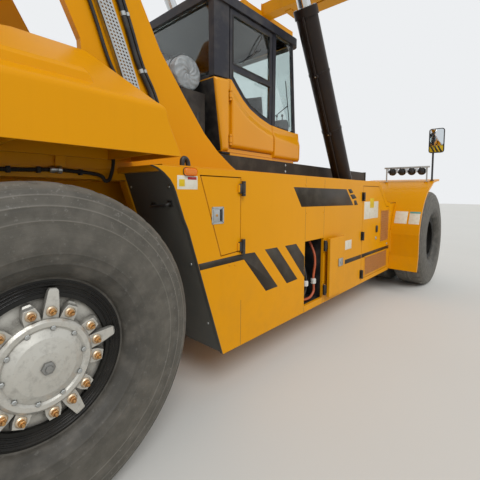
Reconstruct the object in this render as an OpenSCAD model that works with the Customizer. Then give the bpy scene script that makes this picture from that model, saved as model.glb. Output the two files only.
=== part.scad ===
// Reach stacker for 20 and 40 foot freight boxes, electric drive, stored with its boom raised.
// Lengths along x are measured forward from the rear axle, then moved so that the middle of the machine is x = 0.
// y points to the machine's left and z up from the floor.

/* [Wheels] */
// Distance between the rear and front axles
wheelbase = 6000; // [5600:50:6400]
// Outer diameter of a tyre
tyre_d = 1630; // [1600:5:1640]
// Width of a tyre
tyre_w = 500; // [470:5:510]
// Diameter of the rim's bead seat
rim_d = 635; // [610:1:650]
// From the middle of the machine to the middle of a rear tyre
rear_track_half = 1540; // [1535:1:1550]
// From the middle of the machine to the middle of a front pair of tyres
front_track_half = 1530; // [1525:1:1540]
// Gap between the two tyres of a front pair
twin_gap = 70; // [50:5:80]

/* [Chassis] */
// From the rear axle back to the rear of the counterweight
rear_overhang = 1450; // [1400:10:1600]
// From the middle of the machine to the outside of a side body
body_half_w = 1630; // [1620:1:1640]
// Height of the side body's lower edge
body_low_z = 365; // [340:5:400]
// Height of the deck
deck_z = 1760; // [1740:5:1780]
// Thickness of the body's sheet and doors
sheet_t = 30; // [20:1:36]
// Half width of the gap round a door
door_gap = 7; // [6:0.5:9]

/* [Tower and boom] */
// Boom pivot, forward of the rear axle
pivot_x = 150; // [100:10:200]
// Height of the boom pivot
pivot_z = 3950; // [3850:10:4000]
// Boom angle at rest, above level
boom_rest = 36; // [20:0.5:40]
// Width of the outer boom
boom_w = 860; // [820:10:900]
// Depth of the outer boom
boom_h = 900; // [860:10:940]
// Length of the outer boom ahead of its pivot
boom_len = 7350; // [7300:10:7450]
// Wall of both booms
boom_wall = 25; // [16:1:30]
// From the pivot to the head pin, along the boom
head_u = 8700; // [8650:10:8800]
// Depth of the head pin below the boom's lower face
head_drop = 800; // [780:10:830]

/* [Lift cylinders] */
// Foot pin of the lift cylinders, behind the front axle
lift_foot_back = 1255; // [1240:5:1300]
// Height of that pin
lift_foot_z = 1200; // [1180:5:1220]
// From the middle of the machine to a lift cylinder
lift_half_w = 1100; // [1090:1:1115]
// From the boom pivot to the cylinders' upper pin
lift_r = 2614; // [2590:1:2640]
// Outer diameter of a lift cylinder's barrel
lift_barrel_d = 275; // [240:5:290]

/* [Cab] */
// Rear lower edge of the cab, forward of the rear axle
cab_rear_x = 1985; // [1975:5:2000]
// Front of the cab's lower body
cab_front_x = 3500; // [3450:10:3550]
// From the middle of the cab to its side
cab_half_w = 850; // [830:5:860]
// Height of the cab's floor
cab_floor_z = 2020; // [2015:1:2030]
// Height of the cab's roof
cab_roof_z = 3640; // [3560:10:3680]
// Outer size of a cab post
cab_post = 70; // [55:5:80]

/* [Spreader] */
// Spacing of the twistlocks across the spreader
lock_spacing_x = 2259; // [2240:1:2270]
// Spacing of the twistlocks along the spreader, drawn in
lock_spacing_y = 5853; // [5800:1:5900]
// Width over the spreader's ends
spreader_w = 2438; // [2400:1:2450]
// Wall of the spreader's tubes
spreader_wall = 20; // [12:1:24]

/* [Hidden] */

$fn = 64;
// Radial play of a pin in its bore, and the least gap between pieces that pass each other
pin_play = 0.05;
gap = 8;

// Frame beams: two boxes that run from the counterweight to the front axle
chassis_low_z = 1100;
chassis_top_z = 1680;
beam_y = 480;
beam_w = 200;
chassis_front_x = wheelbase + 420;
lift_foot_x = wheelbase - lift_foot_back;
// Front edge of the side bodies, and the wall across the front of them
panel_front_x = wheelbase - 1000;
front_wall_x = panel_front_x + 10;
front_wall_t = 15;
counterweight_front_x = -1000;

tyre_r = tyre_d / 2;
axle_z = tyre_r;
kingpin_y = 1240;
spindle_r = 95;

body_yellow = "#DB9A1E";
dark_grey = "#33332F";
black = "#1B1B1C";
rubber = "#3A3936";
steel = "#A9ABA8";
glass_tint = [0.62, 0.76, 0.74, 0.35];

// The boom at rest, and its head pin: u runs along the boom and w square to it
boom_low_w = -100;
head_w = boom_low_w - head_drop;
head_x = pivot_x + head_u * cos(boom_rest) - head_w * sin(boom_rest);
head_z = pivot_z + head_u * sin(boom_rest) + head_w * cos(boom_rest);
spreader_front_x = head_x + spreader_w / 2;
mid_x = (spreader_front_x - rear_overhang) / 2;

// Lifting pin seen from the boom pivot, and the cylinder between its two pins
lift_pin_angle = 2;
lift_top_x = pivot_x + lift_r * cos(boom_rest + lift_pin_angle);
lift_top_z = pivot_z + lift_r * sin(boom_rest + lift_pin_angle);
lift_length = norm([lift_top_x - lift_foot_x, lift_top_z - lift_foot_z]);
lift_lean = atan2(lift_foot_x - lift_top_x, lift_top_z - lift_foot_z);

// Moves a piece from the rear axle's frame to the machine's frame
module placed() translate([-mid_x, 0, 0]) children();

// Plate of thickness t cut from an x-z outline, with its middle at y
module plate_xz(y, t) translate([0, y + t / 2, 0]) rotate([90, 0, 0]) linear_extrude(t) children();

// Bar with a y-z section from x0 to x1
module bar_yz(x0, x1) translate([x0, 0, 0]) rotate([90, 0, 90]) linear_extrude(x1 - x0) children();

// Plan outline from z0 to z1
module slab(z0, z1) translate([0, 0, z0]) linear_extrude(z1 - z0) children();

// Box between two corners
module box(a, b) translate(a) cube(b - a);

// Round bar along y from y0 to y1
module rod_y(x, z, r, y0, y1) translate([x, y1, z]) rotate([90, 0, 0]) cylinder(r = r, h = y1 - y0);

// Round bar between two points
module rod(a, b, r) {
    d = b - a;
    translate(a) rotate([0, acos(d.z / norm(d)), atan2(d.y, d.x)]) cylinder(r = r, h = norm(d));
}

// Points of an arc about c, from angle a0 to a1 in n steps
function arc(c, r, a0, a1, n) = [for (i = [0:n]) c + r * [cos(a0 + (a1 - a0) * i / n), sin(a0 + (a1 - a0) * i / n)]];

// Rectangle with rounded corners, from corner a to corner b
module rounded(a, b, r) polygon([
    for (q = [[b.x - r, b.y - r, 0], [a.x + r, b.y - r, 90], [a.x + r, a.y + r, 180], [b.x - r, a.y + r, 270]])
        each arc([q[0], q[1]], r, q[2], q[2] + 90, 6)]);

// A right-hand piece (s = -1) or its left-hand twin (s = 1), drawn for positive y
module on_side(s) {
    if (s > 0) children();
    else mirror([0, 1, 0]) children();
}

// Wheels, drawn about their own middle with the axle along y and the outer face towards +y

// Rim flanges stand this far each side of the tyre's middle
flange_y = tyre_w / 2 - 100;
rim_r = rim_d / 2;
rim_bore_r = rim_r - 24;
seat_gap = 0.3;

// Half section of a tyre: radius from the axle, then distance from the tyre's middle
function tyre_half() = let (hw = tyre_w / 2) [
    [rim_r + seat_gap, flange_y - seat_gap], [rim_r + 64, flange_y - seat_gap], [rim_r + 67, flange_y + 28],
    [rim_r + 96, flange_y + 62], [rim_r + 140, hw - 14], [rim_r + 200, hw], [rim_r + 262, hw - 2],
    [tyre_r - 120, hw - 13], [tyre_r - 62, hw - 26], [tyre_r - 30, hw - 42], [tyre_r - 10, hw - 66],
    [tyre_r, hw - 105]];

module tyre() {
    half = tyre_half();
    rotate([-90, 0, 0]) rotate_extrude($fn = 96)
        polygon(concat(half, [for (i = [len(half) - 1:-1:0]) [half[i][0], -half[i][1]]]));
}

// Rim as one turned section, its lock ring at the outer face
module rim() rotate([-90, 0, 0]) rotate_extrude($fn = 96) polygon([
    [rim_bore_r, -flange_y - 15], [rim_r + 42, -flange_y - 15], [rim_r + 42, -flange_y], [rim_r, -flange_y],
    [rim_r, flange_y], [rim_r + 42, flange_y], [rim_r + 60, flange_y + 5], [rim_r + 62, flange_y + 13],
    [rim_r + 40, flange_y + 15], [rim_r + 18, flange_y + 9], [rim_bore_r, flange_y + 15]]);

// Clamp lugs: five groups of a short, a long and a short lug round the hub
lug_groups = 5;
lug_step = 20;
lug_start = 8.3;
stud_r = 236;
hub_r = 205;
lug_base = 15.5;

// One lug, drawn pointing up, with its pad on the hub's flange and its tip over the rim's edge
module clamp_lug(long) {
    tip = long ? 340 : 284;
    base = long ? lug_base : 0;
    translate([0, 0, stud_r - 20]) rotate([-90, 0, 0]) cylinder(r = 28, h = 30, $fn = 24);
    intersection() {
        rotate([-90, 0, 0]) linear_extrude(80) polygon([[-33, 46 - stud_r], [33, 46 - stud_r], [33, -stud_r],
            [22, 14 - tip], [14, 3 - tip], [-14, 3 - tip], [-22, 14 - tip], [-33, -stud_r]]);
        rotate([90, 0, 90]) translate([0, 0, -40]) linear_extrude(80) polygon([[base, stud_r - 46], [46, stud_r - 46],
            [46, stud_r + 30], [base + 24, tip - 12], [base + 16, tip - 2], [base, tip - 2]]);
    }
}

// Hub of a steered wheel: turned body with a bore for the spindle and a domed cap
module hub(y0) translate([0, y0, 0]) {
    rotate([-90, 0, 0]) difference() {
        rotate_extrude($fn = 72) polygon([
            [0, -150], [150, -150], [150, -60], [rim_bore_r - seat_gap, -60], [rim_bore_r - seat_gap, -6],
            [stud_r + 14, 0], [hub_r + 10, 4], [hub_r + 4, 30], [hub_r, 52], [hub_r - 12, 62], [hub_r - 32, 61],
            [hub_r - 42, 54], [hub_r - 80, 72], [hub_r - 140, 84], [0, 88]]);
        translate([0, 0, -151]) cylinder(r = spindle_r + pin_play, h = 120);
    }
    for (g = [0:lug_groups - 1], k = [-1:1])
        rotate([0, lug_start + g * 360 / lug_groups + k * lug_step, 0]) clamp_lug(k == 0);
}

module rear_wheel_place(s) translate([0, s * rear_track_half, axle_z]) on_side(s) children();
module rear_tyre(s) placed() color(rubber) rear_wheel_place(s) tyre();
module rear_rim(s) placed() color(black) rear_wheel_place(s) rim();
module rear_hub(s) placed() color(steel) rear_wheel_place(s) hub(flange_y);

// Front pair of wheels: two rims on one drum, whose web carries the hub
twin_half = (tyre_w + twin_gap) / 2;
module front_wheel_place(s) translate([wheelbase, s * front_track_half, axle_z]) on_side(s) children();
module front_tyres(s) placed() color(rubber) front_wheel_place(s)
    for (k = [-1, 1]) translate([0, k * twin_half, 0]) tyre();
module front_rim(s) placed() color(black) front_wheel_place(s) {
    for (k = [-1, 1]) translate([0, k * twin_half, 0]) rotate([k < 0 ? 180 : 0, 0, 0]) rim();
    drum = twin_half + 100;
    rotate([-90, 0, 0]) difference() {
        rotate_extrude($fn = 72) polygon([
            [0, -200], [165, -200], [165, -20], [rim_bore_r - 30, -20], [rim_bore_r - 30, -drum],
            [rim_bore_r + 4, -drum], [rim_bore_r + 4, drum], [rim_bore_r - 30, drum], [rim_bore_r - 30, 20],
            [165, 20], [160, 150], [140, 190], [60, 205], [0, 206]]);
        translate([0, 0, -201]) cylinder(r = spindle_r + pin_play, h = 316);
    }
    for (i = [0:11]) rotate([0, i * 30, 0]) translate([0, 19, 215]) rotate([-90, 0, 0]) cylinder(r = 16, h = 34, $fn = 6);
}

// Front axle: housing tube with its differential and the spindles that carry the wheels
module front_axle() placed() color(dark_grey) translate([wheelbase, 0, axle_z]) {
    rod_y(0, 0, 190, -950, 950);
    rotate([90, 0, 0]) rotate_extrude($fn = 64)
        polygon([[0, -330], [180, -330], [330, -230], [400, -90], [400, 90], [330, 230], [180, 330], [0, 330]]);
    for (s = [-1, 1]) {
        rod_y(0, 0, 240, s > 0 ? 900 : -960, s > 0 ? 960 : -900);
        rod_y(0, 0, spindle_r, s > 0 ? 940 : -1640, s > 0 ? 1640 : -940);
        box([-170, s * beam_y - 100, 120], [170, s * beam_y + 100, chassis_low_z - axle_z - seat_gap]);
    }
    box([-700, -120, -120], [-380, 120, 120]);
}

// Rear axle: tapered beam, fork ends round the kingpins and the steering cylinder behind it
fork_h = 190;
kingpin_r = 45;
axle_seat_z = 1066;
module rear_axle() placed() color(dark_grey) translate([0, 0, axle_z]) {
    slab(-150, 150) polygon([[-210, -500], [-120, -900], [-52, -1110], [105, -1110], [120, -900], [210, -500],
        [210, 500], [120, 900], [105, 1110], [-52, 1110], [-120, 900], [-210, 500]]);
    for (s = [-1, 1]) {
        for (k = [-1, 1]) translate([0, s * kingpin_y, k * (fork_h - 22)]) slab(-28, 28) {
            circle(r = 95);
            translate([-95, s > 0 ? -180 : 0]) square([190, 180]);
        }
        translate([0, s * kingpin_y, 0]) cylinder(r = kingpin_r, h = 2 * fork_h + 30, center = true);
        box([-50, s * (kingpin_y - 155) - 25, -fork_h + 5], [95, s * (kingpin_y - 155) + 25, fork_h - 5]);
    }
    rod_y(-270, 20, 75, -480, 480);
    rod_y(-270, 20, 34, -560, 560);
    box([-290, -60, -50], [-150, 60, 60]);
    box([-160, -320, 140], [160, 320, axle_seat_z - axle_z - seat_gap]);
}

// Steering knuckle: hub on the kingpin, spindle and steering arm
module knuckle(s) placed() color(dark_grey) translate([0, s * kingpin_y, axle_z]) on_side(s) difference() {
    union() {
        translate([0, 0, -fork_h + 60]) cylinder(r = 88, h = 2 * fork_h - 120);
        rod_y(0, 0, 120, 60, 150);
        rod_y(0, 0, spindle_r, 100, rear_track_half - kingpin_y + 110);
        box([-240, -30, -40], [-60, 30, 20]);
    }
    translate([0, 0, -fork_h]) cylinder(r = kingpin_r + pin_play, h = 2 * fork_h);
}

// Frame: two long beams, cross members, the step that bears the tower and the lift cylinders' foot brackets
lift_foot_r = 60;
lift_eye_w = 190;
module chassis() placed() color(body_yellow) {
    for (s = [-1, 1]) {
        box([counterweight_front_x, s * beam_y - beam_w / 2, chassis_low_z],
            [chassis_front_x, s * beam_y + beam_w / 2, chassis_top_z]);
        for (k = [-1, 1])
            plate_xz(s * (lift_half_w + k * (lift_eye_w / 2 + gap + 25)), 50) difference() {
                polygon(concat([[lift_foot_x - 260, 640], [lift_foot_x + 200, 640]],
                    arc([lift_foot_x, lift_foot_z], 150, 0, 180, 16)));
                translate([lift_foot_x, lift_foot_z]) circle(r = lift_foot_r - 1);
            }
        rod_y(lift_foot_x, lift_foot_z, lift_foot_r, s > 0 ? lift_half_w - 190 : -lift_half_w - 170,
            s > 0 ? lift_half_w + 170 : -lift_half_w + 190);
    }
    // Cross box under the lift cylinders, and the hangers that join it to the beams
    box([lift_foot_x - 260, -lift_half_w - 160, 560], [lift_foot_x + 200, lift_half_w + 160, 660]);
    for (s = [-1, 1])
        box([lift_foot_x - 200, s * beam_y - 70, 650], [lift_foot_x + 140, s * beam_y + 70, chassis_low_z + 10]);
    for (x = [-900, 300, 1800, 3100, wheelbase - 800])
        box([x, -beam_y, chassis_low_z + 60], [x + 160, beam_y, chassis_top_z - 60]);
    // Saddle of the rear axle and plate across the front of the beams
    box([-170, -beam_y, axle_seat_z], [170, beam_y, 1240]);
    box([chassis_front_x, -900, 1020], [chassis_front_x + 25, 900, chassis_top_z + 20]);
    // Outriggers of the front mudguards
    for (s = [-1, 1], x = guard_foot_x) on_side(s)
        box([x, beam_y + 50, 1500], [x + 60, 980, guard_foot_z]);
    // Step for the tower and the deck, and the front wall of the side bodies
    box([-760, -tower_half_w - 40, chassis_top_z - 10], [2150, tower_half_w + 40, deck_z - 20]);
    for (s = [-1, 1]) on_side(s)
        box([front_wall_x, beam_y + beam_w / 2 + seat_gap, body_low_z],
            [front_wall_x + front_wall_t, body_half_w, deck_z - 300]);
}

// Tower: two plates with a flared foot, tied by tubes, with the boom pin through their heads
tower_half_w = 1000;
tower_t = 60;
pivot_pin_r = 80;
module tower_outline() {
    head_r = 260;
    difference() {
        polygon(concat(
            [[-700, deck_z - 20], [2120, deck_z - 20], [2120, deck_z], [1942, 1856], [1754, 1979], [1581, 2129],
             [1356, 2401], [1106, 2722]],
            arc([pivot_x, pivot_z], head_r, 32, 190, 24), [[-560, 2300]]));
        // Window between the front and rear legs
        polygon([[-280, 2080], [340, 2080], [500, 2240], [480, 2600], [240, 3120], [60, 3460], [-40, 3520],
                 [-120, 3400]]);
    }
}
module tower() placed() color(body_yellow) {
    for (s = [-1, 1]) {
        plate_xz(s * tower_half_w, tower_t) tower_outline();
        rod_y(pivot_x, pivot_z, 200, s > 0 ? tower_half_w - 62 : -tower_half_w - 62,
            s > 0 ? tower_half_w + 62 : -tower_half_w + 62);
    }
    rod_y(pivot_x, pivot_z, pivot_pin_r, -tower_half_w - 80, tower_half_w + 80);
    rod_y(-330, 2230, 110, -tower_half_w, tower_half_w);
    rod_y(1230, 2060, 90, -tower_half_w, tower_half_w);
    rod_y(-200, 3300, 70, -tower_half_w, tower_half_w);
}

// Counterweight: cast block with rounded corners and a tow pin in its pocket
module counterweight() placed() color(body_yellow) {
    half = body_half_w - 30;
    difference() {
        intersection() {
            slab(420, 1800) rounded([-rear_overhang, -half], [counterweight_front_x + 150, half], 140);
            plate_xz(0, 2 * half + 200) polygon([[-rear_overhang + 160, 420], [counterweight_front_x, 420],
                [counterweight_front_x, 1800], [-rear_overhang + 90, 1800], [-rear_overhang, 1640],
                [-rear_overhang, 760]]);
        }
        box([-rear_overhang - 1, -130, 560], [-rear_overhang + 230, 130, 760]);
        translate([-rear_overhang + 110, 0, 500]) cylinder(r = 26, h = 360);
    }
    translate([-rear_overhang + 110, 0, 520]) cylinder(r = 26, h = 320);
}

// Side body: outer sheet with its door openings, top and bottom flanges and bulkheads
function arch_edge() = [[631, deck_z - 13], [673, 1732], [716, 1705], [760, 1666], [788, 1625], [807, 1583],
    [835, 1505], [869, 1413], [904, 1338], [1233, body_low_z]];
function panel_outline() = concat([[panel_front_x, body_low_z], [panel_front_x, 1450], [panel_front_x - 147, 1458],
    [panel_front_x - 495, deck_z]], arch_edge());

// Door openings and the charging port: left, right, low and high edges
service_door = [1002, 1424, 1114, 1703];
bay_door = [panel_front_x - 1120, panel_front_x - 25, 420, 1690];
port = [2400, 2795, 432, 1097];

// Outline moved inwards by d: p runs counter-clockwise
function inset(p, d) = let (n = len(p)) [for (i = [0:n - 1]) let (
    a = p[(i + n - 1) % n], b = p[i], c = p[(i + 1) % n],
    u = (b - a) / norm(b - a), v = (c - b) / norm(c - b), nu = [-u.y, u.x], nv = [-v.y, v.x])
    b + d * (nu + nv) / (1 + nu * nv)];

function service_door_points() = [[service_door[0], service_door[3]], [1205, service_door[2]],
    [service_door[1], service_door[2] + 14], [service_door[1], service_door[3]]];
function bay_door_points() = [[bay_door[0], bay_door[2]], [bay_door[1] - 30, bay_door[2]],
    [bay_door[1] - 30, 1385], [bay_door[1] - 150, 1395], [bay_door[1] - 485, bay_door[3]], [bay_door[0], bay_door[3]]];
function port_points() = [[port[0], port[2]], [port[1], port[2]], [port[1], port[3]], [port[0], port[3]]];

// The outer sheet is three panels that meet at the two upright edges of the charging port
panel_seams = [port[0], port[1]];

// y of the middle of the outer sheet
sheet_y = body_half_w - sheet_t / 2;
inner_y = 700;
module side_body(s) placed() color(body_yellow) on_side(s) {
    in_y = body_half_w - sheet_t - seat_gap;
    for (i = [0:2]) intersection() {
        plate_xz(sheet_y, sheet_t) difference() {
            polygon(panel_outline());
            polygon(service_door_points());
            polygon(bay_door_points());
            if (s < 0) polygon(port_points());
        }
        box([i == 0 ? 0 : panel_seams[i - 1] + seat_gap, 0, 0],
            [i == 2 ? wheelbase : panel_seams[i], 2 * body_half_w, 2 * deck_z]);
    }
    box([722, hood_in_y, deck_z - 40], [well_x, in_y, deck_z - 15 - seat_gap]);
    box([well_x + seat_gap, well_y, deck_z - 40], [panel_front_x - 520, in_y, deck_z - 15 - seat_gap]);
    box([1250, inner_y, body_low_z], [panel_front_x - 20 - seat_gap, in_y, body_low_z + 20]);
    for (x = [1440, 2360, 2830, bay_door[0] - 40])
        box([x, beam_y + beam_w / 2 + seat_gap, body_low_z + 20 + seat_gap], [x + 20, in_y, chassis_top_z - 11]);
    box([panel_front_x - 20, lift_half_w + 180, body_low_z], [panel_front_x, in_y, 1435 - seat_gap]);
    door_pins([service_door[1] + hinge_in, [1166, 1616]]);
    door_pins([bay_door[0] - hinge_in, [497, 1016, 1544]]);
    if (s < 0) door_pins([port[1] + hinge_in, [520, 1010]]);
}

hinge_in = 8;
// Hinges: pins that stand on the body in two lugs, and the knuckle that each door carries between them
hinge_r = 8;
hinge_out = 20;
hinge_h = 60;
module door_pins(row) for (z = row[1]) translate([row[0], body_half_w + hinge_out, z]) {
    cylinder(r = hinge_r, h = hinge_h + 60, center = true);
    for (k = [-1, 1]) translate([0, 0, k * (hinge_h / 2 + gap + 9)]) {
        cylinder(r = 15, h = 18, center = true);
        translate([0, -hinge_out / 2, 0]) cube([14, hinge_out, 18], center = true);
    }
}
module door_knuckles(row, dir) for (z = row[1]) translate([row[0], body_half_w + hinge_out, z]) difference() {
    union() {
        cylinder(r = 15, h = hinge_h, center = true);
        slab(-hinge_h / 2, hinge_h / 2) polygon([[dir * 50, -hinge_out], [dir * 17, -hinge_out], [dir * 17, -13],
            [0, -13], [0, 2], [dir * 50, -8]]);
    }
    cylinder(r = hinge_r + pin_play, h = hinge_h + 2, center = true);
}

module service_doors(s) placed() color(body_yellow) on_side(s) {
    difference() {
        plate_xz(sheet_y, sheet_t) polygon(inset(service_door_points(), door_gap));
        box([1118, body_half_w - 6, 1364], [1226, body_half_w + 1, 1476]);
    }
    door_knuckles([service_door[1] + hinge_in, [1166, 1616]], -1);
}

// Bay door with its two grilles: slats in a sunk frame
module grille_window(x0, x1, z0, z1, pitch) difference() {
    children();
    for (i = [0:floor((z1 - z0) / pitch) - 1])
        box([x0, body_half_w - sheet_t - 1, z0 + i * pitch], [x1, body_half_w + 1, z0 + i * pitch + pitch * 0.55]);
}
module bay_doors(s) placed() color(body_yellow) on_side(s) {
    grille_window(bay_door[1] - 375, bay_door[1] - 65, 860, 1330, 36)
    grille_window(bay_door[0] + 120, bay_door[1] - 75, 450, 716, 36)
        plate_xz(sheet_y, sheet_t) polygon(inset(bay_door_points(), door_gap));
    door_knuckles([bay_door[0] - hinge_in, [497, 1016, 1544]], 1);
}

// Port door, stored open: turned half round its hinge, flat along the body
module port_door() placed() color(body_yellow) on_side(-1) {
    axis_x = port[1] + hinge_in;
    translate([axis_x, body_half_w + hinge_out, 0]) rotate([0, 0, 180]) translate([-axis_x, -body_half_w - hinge_out, 0]) {
        plate_xz(sheet_y, sheet_t) polygon(inset(port_points(), door_gap));
        door_knuckles([axis_x, [520, 1010]], -1);
    }
}

// Wall that closes the side body behind the rear wheel, bent along the sheet's rear edge
module arch_walls() placed() color(dark_grey) for (s = [-1, 1]) on_side(s) {
    plate_xz((body_half_w - sheet_t + hood_in_y) / 2, body_half_w - sheet_t - hood_in_y)
        polygon(concat(arch_edge(), [for (i = [9:-1:0]) arch_edge()[i] + [14, i == 9 ? 0 : -2]]));
}

// Rear hood beside the tower: one section along the machine, cut to its side outline, open below
hood_rear_x = -940;
hood_low_z = 1812;
hood_in_y = tower_half_w + 45;
function hood_section(d) = concat([[body_half_w - d, hood_low_z - 1], [body_half_w - d, 2075]],
    arc([body_half_w - 60, 2075], 60 - d, 8, 50, 5), [[hood_in_y + d, 2523 - 1.2 * d], [hood_in_y + d, hood_low_z - 1]]);
module hood_side(d) polygon(concat([[hood_rear_x + d, hood_low_z - (d > 0 ? 2 : 0)], [843 - d, hood_low_z - (d > 0 ? 2 : 0)]],
    [[826 - d, 1860], [781 - d, 1945], [745 - d, 2030]], arc([655 - d, 2040], 88, 20, 70, 5),
    [[500 - d, 2533 - d], [200, 2560 - d], [-300, 2400 - d], [hood_rear_x + d, 2160 - d]]));
module hood_solid(d) intersection() {
    bar_yz(hood_rear_x + d, 900) polygon(hood_section(d));
    plate_xz(body_half_w / 2 + 500, 1400) hood_side(d);
}
module rear_hood(s) placed() color(body_yellow) on_side(s) {
    difference() {
        union() {
            hood_solid(0);
            // Raised cover on the slope
            intersection() {
                bar_yz(-760, 360) polygon([[hood_in_y + 35, 2150], [body_half_w - 70, 2090], [body_half_w - 82, 2205],
                    [body_half_w - 110, 2235], [body_half_w - 430, 2330], [hood_in_y + 35, 2400]]);
                plate_xz(body_half_w / 2 + 500, 1400) polygon([[-760, 2000], [350, 2000], [335, 2150], [285, 2235],
                    [215, 2262], [150, 2380], [-760, 2400]]);
            }
        }
        hood_solid(20);
    }
    for (x = [-900, -60, 640]) box([x, hood_in_y + 8, hood_low_z], [x + 14, body_half_w - 8, 1880]);
    // Foot that carries the hood on the step
    for (x = [-700, 300]) box([x, tower_half_w + 32, deck_z - 20 + seat_gap], [x + 60, hood_in_y + 10, 2000]);
}

// Rear bonnet between the hoods, with cooling louvres in its back
module rear_bonnet() placed() color(body_yellow) {
    half = 920;
    difference() {
        bar_yz(counterweight_front_x + 40, -560) polygon([[-half, deck_z - 20 + seat_gap], [-half, 2160], [-half + 60, 2240],
            [half - 60, 2240], [half, 2160], [half, deck_z - 20 + seat_gap]]);
        for (i = [0:7])
            box([counterweight_front_x + 39, -700, 1850 + i * 42], [counterweight_front_x + 75, 700, 1872 + i * 42]);
    }
}

// Front mudguard: upright plate behind the tyres, rolled forward over them
fender_out_y = body_half_w + 420;
fender_t = 10;
guard_r = 948;
guard_foot_x = [wheelbase - 300, wheelbase + 200];
guard_foot_z = 1640;
function guard_top(d) = concat(arc([wheelbase, axle_z], guard_r - d, 138, 113, 8),
    [[wheelbase - 75, 1813 - d], [wheelbase + 130, 1840 - d], [wheelbase + 336, 1857 - d]]);
function guard_back(d) = concat([[wheelbase - 992 + d, 384], [wheelbase - 944 + d, 604], [wheelbase - 938 + d, 900]],
    arc([wheelbase, axle_z], guard_r - d, 172, 141, 8));
function flip(p) = [for (i = [len(p) - 1:-1:0]) p[i]];
module front_fender(s) placed() color(body_yellow) on_side(s) {
    plate_xz((body_half_w + fender_out_y) / 2, fender_out_y - body_half_w)
        polygon(concat(guard_back(0), guard_top(0), flip(concat(guard_back(fender_t), guard_top(fender_t)))));
    // Over the side body the sheet starts at the deck's front edge
    plate_xz((deck_in_y + 5 + body_half_w) / 2, body_half_w - deck_in_y - 5)
        polygon(concat([[front_wall_x + 16, 1451]], guard_top(0), flip(guard_top(fender_t)), [[front_wall_x + 16, 1441]]));
    // Turned edge of the sheet, and the block that joins it to the body's front wall
    plate_xz(fender_out_y - 6, 12) polygon(concat(guard_back(0), guard_top(0),
        flip(concat(guard_back(34), guard_top(34)))));
    box([front_wall_x + front_wall_t + seat_gap, body_half_w - 80, 640], [wheelbase - 936, body_half_w + 12, 1000]);
    for (i = [0, 1])
        box([guard_foot_x[i], deck_in_y + 15, guard_foot_z + seat_gap], [guard_foot_x[i] + 60, 980, [1720, 1842][i]]);
    // Pads for the lamp bar and the mirror
    for (y = lamp_foot_y) box([lamp_x - 20, y, 1775], [lamp_x + 20, y + 40, lamp_foot_z]);
    box([mirror_x - 25, mirror_y - 28, 1785], [mirror_x + 25, mirror_y + 20, mirror_foot_z]);
}
lamp_foot_z = 1800;
mirror_foot_z = 1815;
mirror_x = wheelbase - 95;
mirror_y = fender_out_y - 30;
lamp_x = wheelbase - 140;
// Ends of the lamp bar, its feet and its lamps
lamp_bar_y = [fender_out_y - 800, fender_out_y - 60];
lamp_foot_y = [lamp_bar_y[0] + 30, lamp_bar_y[1] - 70];
lamp_pitch = 160;

// Deck sheets
module deck() placed() color(body_yellow) {
    for (s = [-1, 1]) on_side(s) {
        box([722, hood_in_y, deck_z - 15], [2155, body_half_w - sheet_t, deck_z]);
        box([2155, deck_in_y, deck_z - 15], [well_x, body_half_w - sheet_t, deck_z]);
        box([well_x, well_y, deck_z - 15], [panel_front_x - 510, body_half_w - sheet_t, deck_z]);
        plate_xz((well_y + body_half_w - sheet_t) / 2, body_half_w - sheet_t - well_y)
            polygon([for (q = [[-511, deck_z - 15], [-511, deck_z], [-495, deck_z], [-147, 1458], [0, 1450],
                [0, 1435], [-155, 1443], [-502, deck_z - 15]]) [panel_front_x + q.x, q.y]]);
    }
    box([2155, -deck_in_y + 5, chassis_top_z + seat_gap], [wheelbase - 100, deck_in_y - 5, deck_z - 20]);
}
// The lift cylinders pass through the deck in wells that start here
deck_in_y = 865;
well_x = lift_foot_x - 665;
well_y = 1310;

// Rails that the cab slides on
cab_rail_y = 800;
rail_top_z = 1990;
rail_front_x = wheelbase - 50;
module cab_rails() placed() color(dark_grey) for (s = [-1, 1]) on_side(s) {
    box([1930, cab_rail_y - 50, deck_z - 20 + seat_gap], [rail_front_x, cab_rail_y + 50, rail_top_z]);
    box([rail_front_x, cab_rail_y - 60, chassis_top_z + 130], [rail_front_x + 20, cab_rail_y + 60, rail_top_z + 10]);
}

// Charging bay behind the port: five walls, a socket and two capped connectors on their stalks
bay_depth = 380;
bay_wall = 12;
module charge_bay() placed() color(black) on_side(-1) {
    back = body_half_w - sheet_t - bay_depth;
    front = back + bay_wall + seat_gap;
    box([port[0] - 15, back, port[2] - 25], [port[1] + 25, back + bay_wall, port[3] + 25]);
    for (z = [port[2] - 25, port[3] + 5]) box([port[0] - 15, front, z], [port[1] + 25, body_half_w - sheet_t, z + 20]);
    for (x = [[port[0] - 15, port[0] - 5], [port[1] + 5, port[1] + 25]])
        box([x[0], front, port[2] - 5 + seat_gap], [x[1], body_half_w - sheet_t, port[3] + 5 - seat_gap]);
    translate([port[0] + 190, front, 960]) rotate([-90, 0, 0]) difference() {
        cylinder(r = 95, h = 150);
        translate([0, 0, 90]) cylinder(r = 62, h = 61);
    }
    for (p = [[80, 190], [150, 215]]) {
        box([port[0] + p.x, front + 138, port[2] + p.y], [port[0] + p.x + 62, front + 228, port[2] + p.y + 52]);
        box([port[0] + p.x + 20, front, port[2] + p.y + 10],
            [port[0] + p.x + 42, front + 138 - seat_gap, port[2] + p.y + 40]);
    }
}

// Battery packs and power cabinet: plain blocks in the side bodies
module battery() placed() color(dark_grey) for (s = [-1, 1], x = [[1480, 2340], [2880, bay_door[0] - 80]]) on_side(s)
    box([x[0], inner_y + 20, body_low_z + 20 + seat_gap], [x[1], body_half_w - 90, 1600]);

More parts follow.
